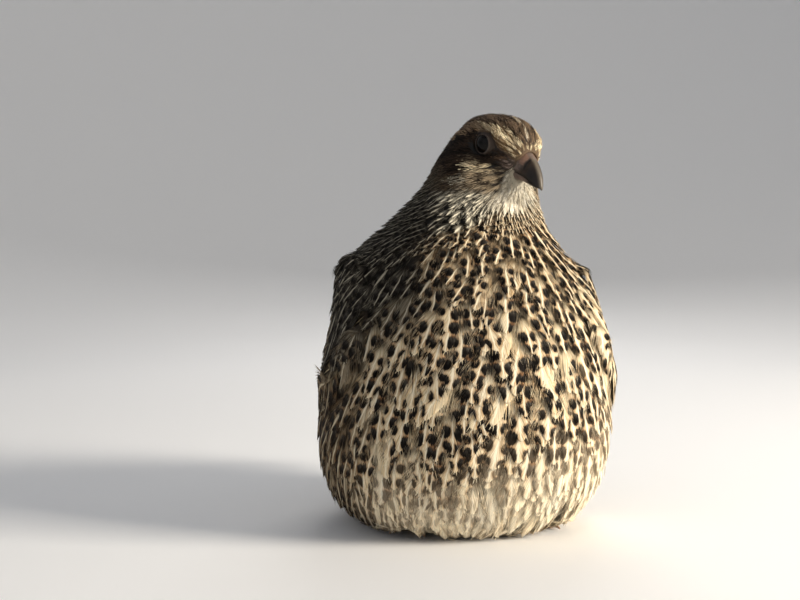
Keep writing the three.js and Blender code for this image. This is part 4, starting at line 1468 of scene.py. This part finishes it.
bill_look = bill_material()
for half_name in ("upper", "lower"):
    upper = half_name == "upper"
    points, faces = bill_points(half_name)
    forward, aside, up = folded(points).T
    cere = smooth(0.9, 1.4, aside) * (1 - smooth(12.2, 12.6, forward))
    cere = cere * smooth(-0.3, 0.3, up + 1.7 - 0.8 * (11.9 - forward))
    # The nostril's slit runs down before its flap and back under it. Its near-black, and that along
    # the mouth line, is painted shade in these creases.
    before = bell(forward, 12.8, 0.36) * window(up, (-2.6, -2.0), (0.5, 1.2))
    below = bell(up, -2.15, 0.28) * window(forward, (10.6, 11.2), (12.7, 13.1))
    slit = np.maximum(before, below) * smooth(0.6, 1.1, aside) * upper
    share = np.clip((forward - BILL_BASE[0]) / (BILL_TIP[0] - BILL_BASE[0]), 0, 1)
    slit = np.maximum(slit, 0.85 * bell(up, mouth_line(share, 2.4), 0.32))
    back = smooth(10.4, 12.4, forward - 0.3 * (up + 4)) if upper else smooth(13.6, 15.6, forward)
    # The culmen's pale band, strongest at the base: partly its own pale colour and partly a painted
    # highlight along the top.
    ridge = (1 - smooth(0.3, 1.2, aside)) * lerp(1.5, 0.5, smooth(10, 14, forward))
    add_piece("bill_" + half_name + "_horn", from_head(points), faces, bill_look, "horn",
              "bill_" + half_name, cere=cere * upper, ridge=ridge * upper, gape=1 - back,
              tip=smooth(12.0, 15.5, forward - 0.5 * (up + 4)), slit=slit)

# Legs


def leg_material():
    """Scaled skin on tarsus and toes, dark between the scales."""
    n = Nodes("leg_scales")
    scales = {"Vector": n.place(), "Scale": 900.0}
    cells = n.add("TexVoronoi", scales, feature="DISTANCE_TO_EDGE")[0]
    colour = n.mix(n.noise(1500.0), paint(176, 140, 112), paint(206, 174, 148))
    colour = n.mix(1 - n.step(0.0, 0.12, cells), colour, paint(120, 88, 68))
    return n.surface(color=colour, roughness=0.5, normal=n.bump(cells, 0.8, 0.25))


leg_look = leg_material()
for name in ("leg_left", "leg_right"):
    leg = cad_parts[name]
    leg.data.materials.clear()
    leg.data.materials.append(leg_look)

# Light, floor and camera

CAMERA_AXIS = np.array([0.0, -17.2, 74.4])
CAMERA_TURN = math.radians(-10)
CAMERA_DISTANCE = 353.4
IMAGE_WIDTH = 800
FOCAL = 1160.0  # in pixels of the image
CAMERA_PAN = math.atan(64 / FOCAL)
CAMERA_DROP = math.atan(25 / FOCAL)
SENSOR = 36.0

heading = np.array([-math.sin(CAMERA_TURN), math.cos(CAMERA_TURN), 0.0])
camera_place = CAMERA_AXIS - heading * CAMERA_DISTANCE
panned = np.array([
    heading[0] * math.cos(CAMERA_PAN) - heading[1] * math.sin(CAMERA_PAN),
    heading[0] * math.sin(CAMERA_PAN) + heading[1] * math.cos(CAMERA_PAN),
    0.0,
])
sight = Vector(panned * math.cos(CAMERA_DROP) - UPWARDS * math.sin(CAMERA_DROP))
camera_data = bpy.data.cameras.new("camera")
camera_data.sensor_width = SENSOR
camera_data.lens = SENSOR * FOCAL / IMAGE_WIDTH
camera_data.clip_start = 0.01
camera_data.clip_end = 20
camera = add_object("camera", camera_data)
camera.location = Vector(camera_place * MM)
camera.rotation_mode = "QUATERNION"
camera.rotation_quaternion = sight.to_track_quat("-Z", "Y")
bpy.context.scene.camera = camera


def add_area(name, place, aim, size, power, colour):
    data = bpy.data.lights.new(name, "AREA")
    data.size = size
    data.energy = power
    data.color = colour
    light = add_object(name, data)
    light.location = place
    light.rotation_mode = "QUATERNION"
    light.rotation_quaternion = (Vector(aim) - Vector(place)).to_track_quat("-Z", "Y")


add_area("key", (0.74, -0.40, 0.32), (0, -0.02, 0.06), 0.3, 13.6, (1.0, 0.92, 0.79))
add_area("fill", (-0.6, -0.8, 0.5), (0, -0.02, 0.05), 0.8, 0.5, (0.86, 0.93, 1.0))
add_area("rim", (0.2, 0.75, 0.6), (0, 0, 0.06), 0.5, 2.4, (1.0, 0.97, 0.92))

world = bpy.data.worlds.new("studio")
world.use_nodes = True
world.node_tree.nodes["Background"].inputs[0].default_value = (0.78, 0.83, 0.9, 1)
world.node_tree.nodes["Background"].inputs[1].default_value = 0.3
bpy.context.scene.world = world
bpy.context.scene.view_settings.view_transform = "Standard"


def floor_mesh(sides=96, steps=14):
    """A level round floor that curves up into a backdrop on all sides."""
    flat, bend, height = 700.0, 1500.0, 2600.0
    profile = [(1.0, 0.0), (flat, 0.0)]
    for k in range(1, steps + 1):
        angle = math.pi / 2 * k / steps
        profile.append((flat + bend * math.sin(angle), bend * (1 - math.cos(angle))))
    profile.append((flat + bend, height))
    turns = 2 * math.pi * np.arange(sides) / sides
    ring = np.stack([np.cos(turns), np.sin(turns), 0 * turns], 1)
    points = np.concatenate([radius * ring + z * UPWARDS for radius, z in profile])
    middle = np.arange(1, sides - 1)
    middle = np.stack([0 * middle, middle, middle + 1], 1)
    faces = np.concatenate([middle, band_faces(len(profile), sides, flipped=True)])
    mesh = new_mesh("floor", points, faces)
    mesh.shade_smooth()
    return mesh


def floor_material():
    n = Nodes("floor")
    return n.surface(color=(0.9, 0.9, 0.91, 1), roughness=0.7)


floor = add_object("floor", floor_mesh())
floor.data.materials.append(floor_material())
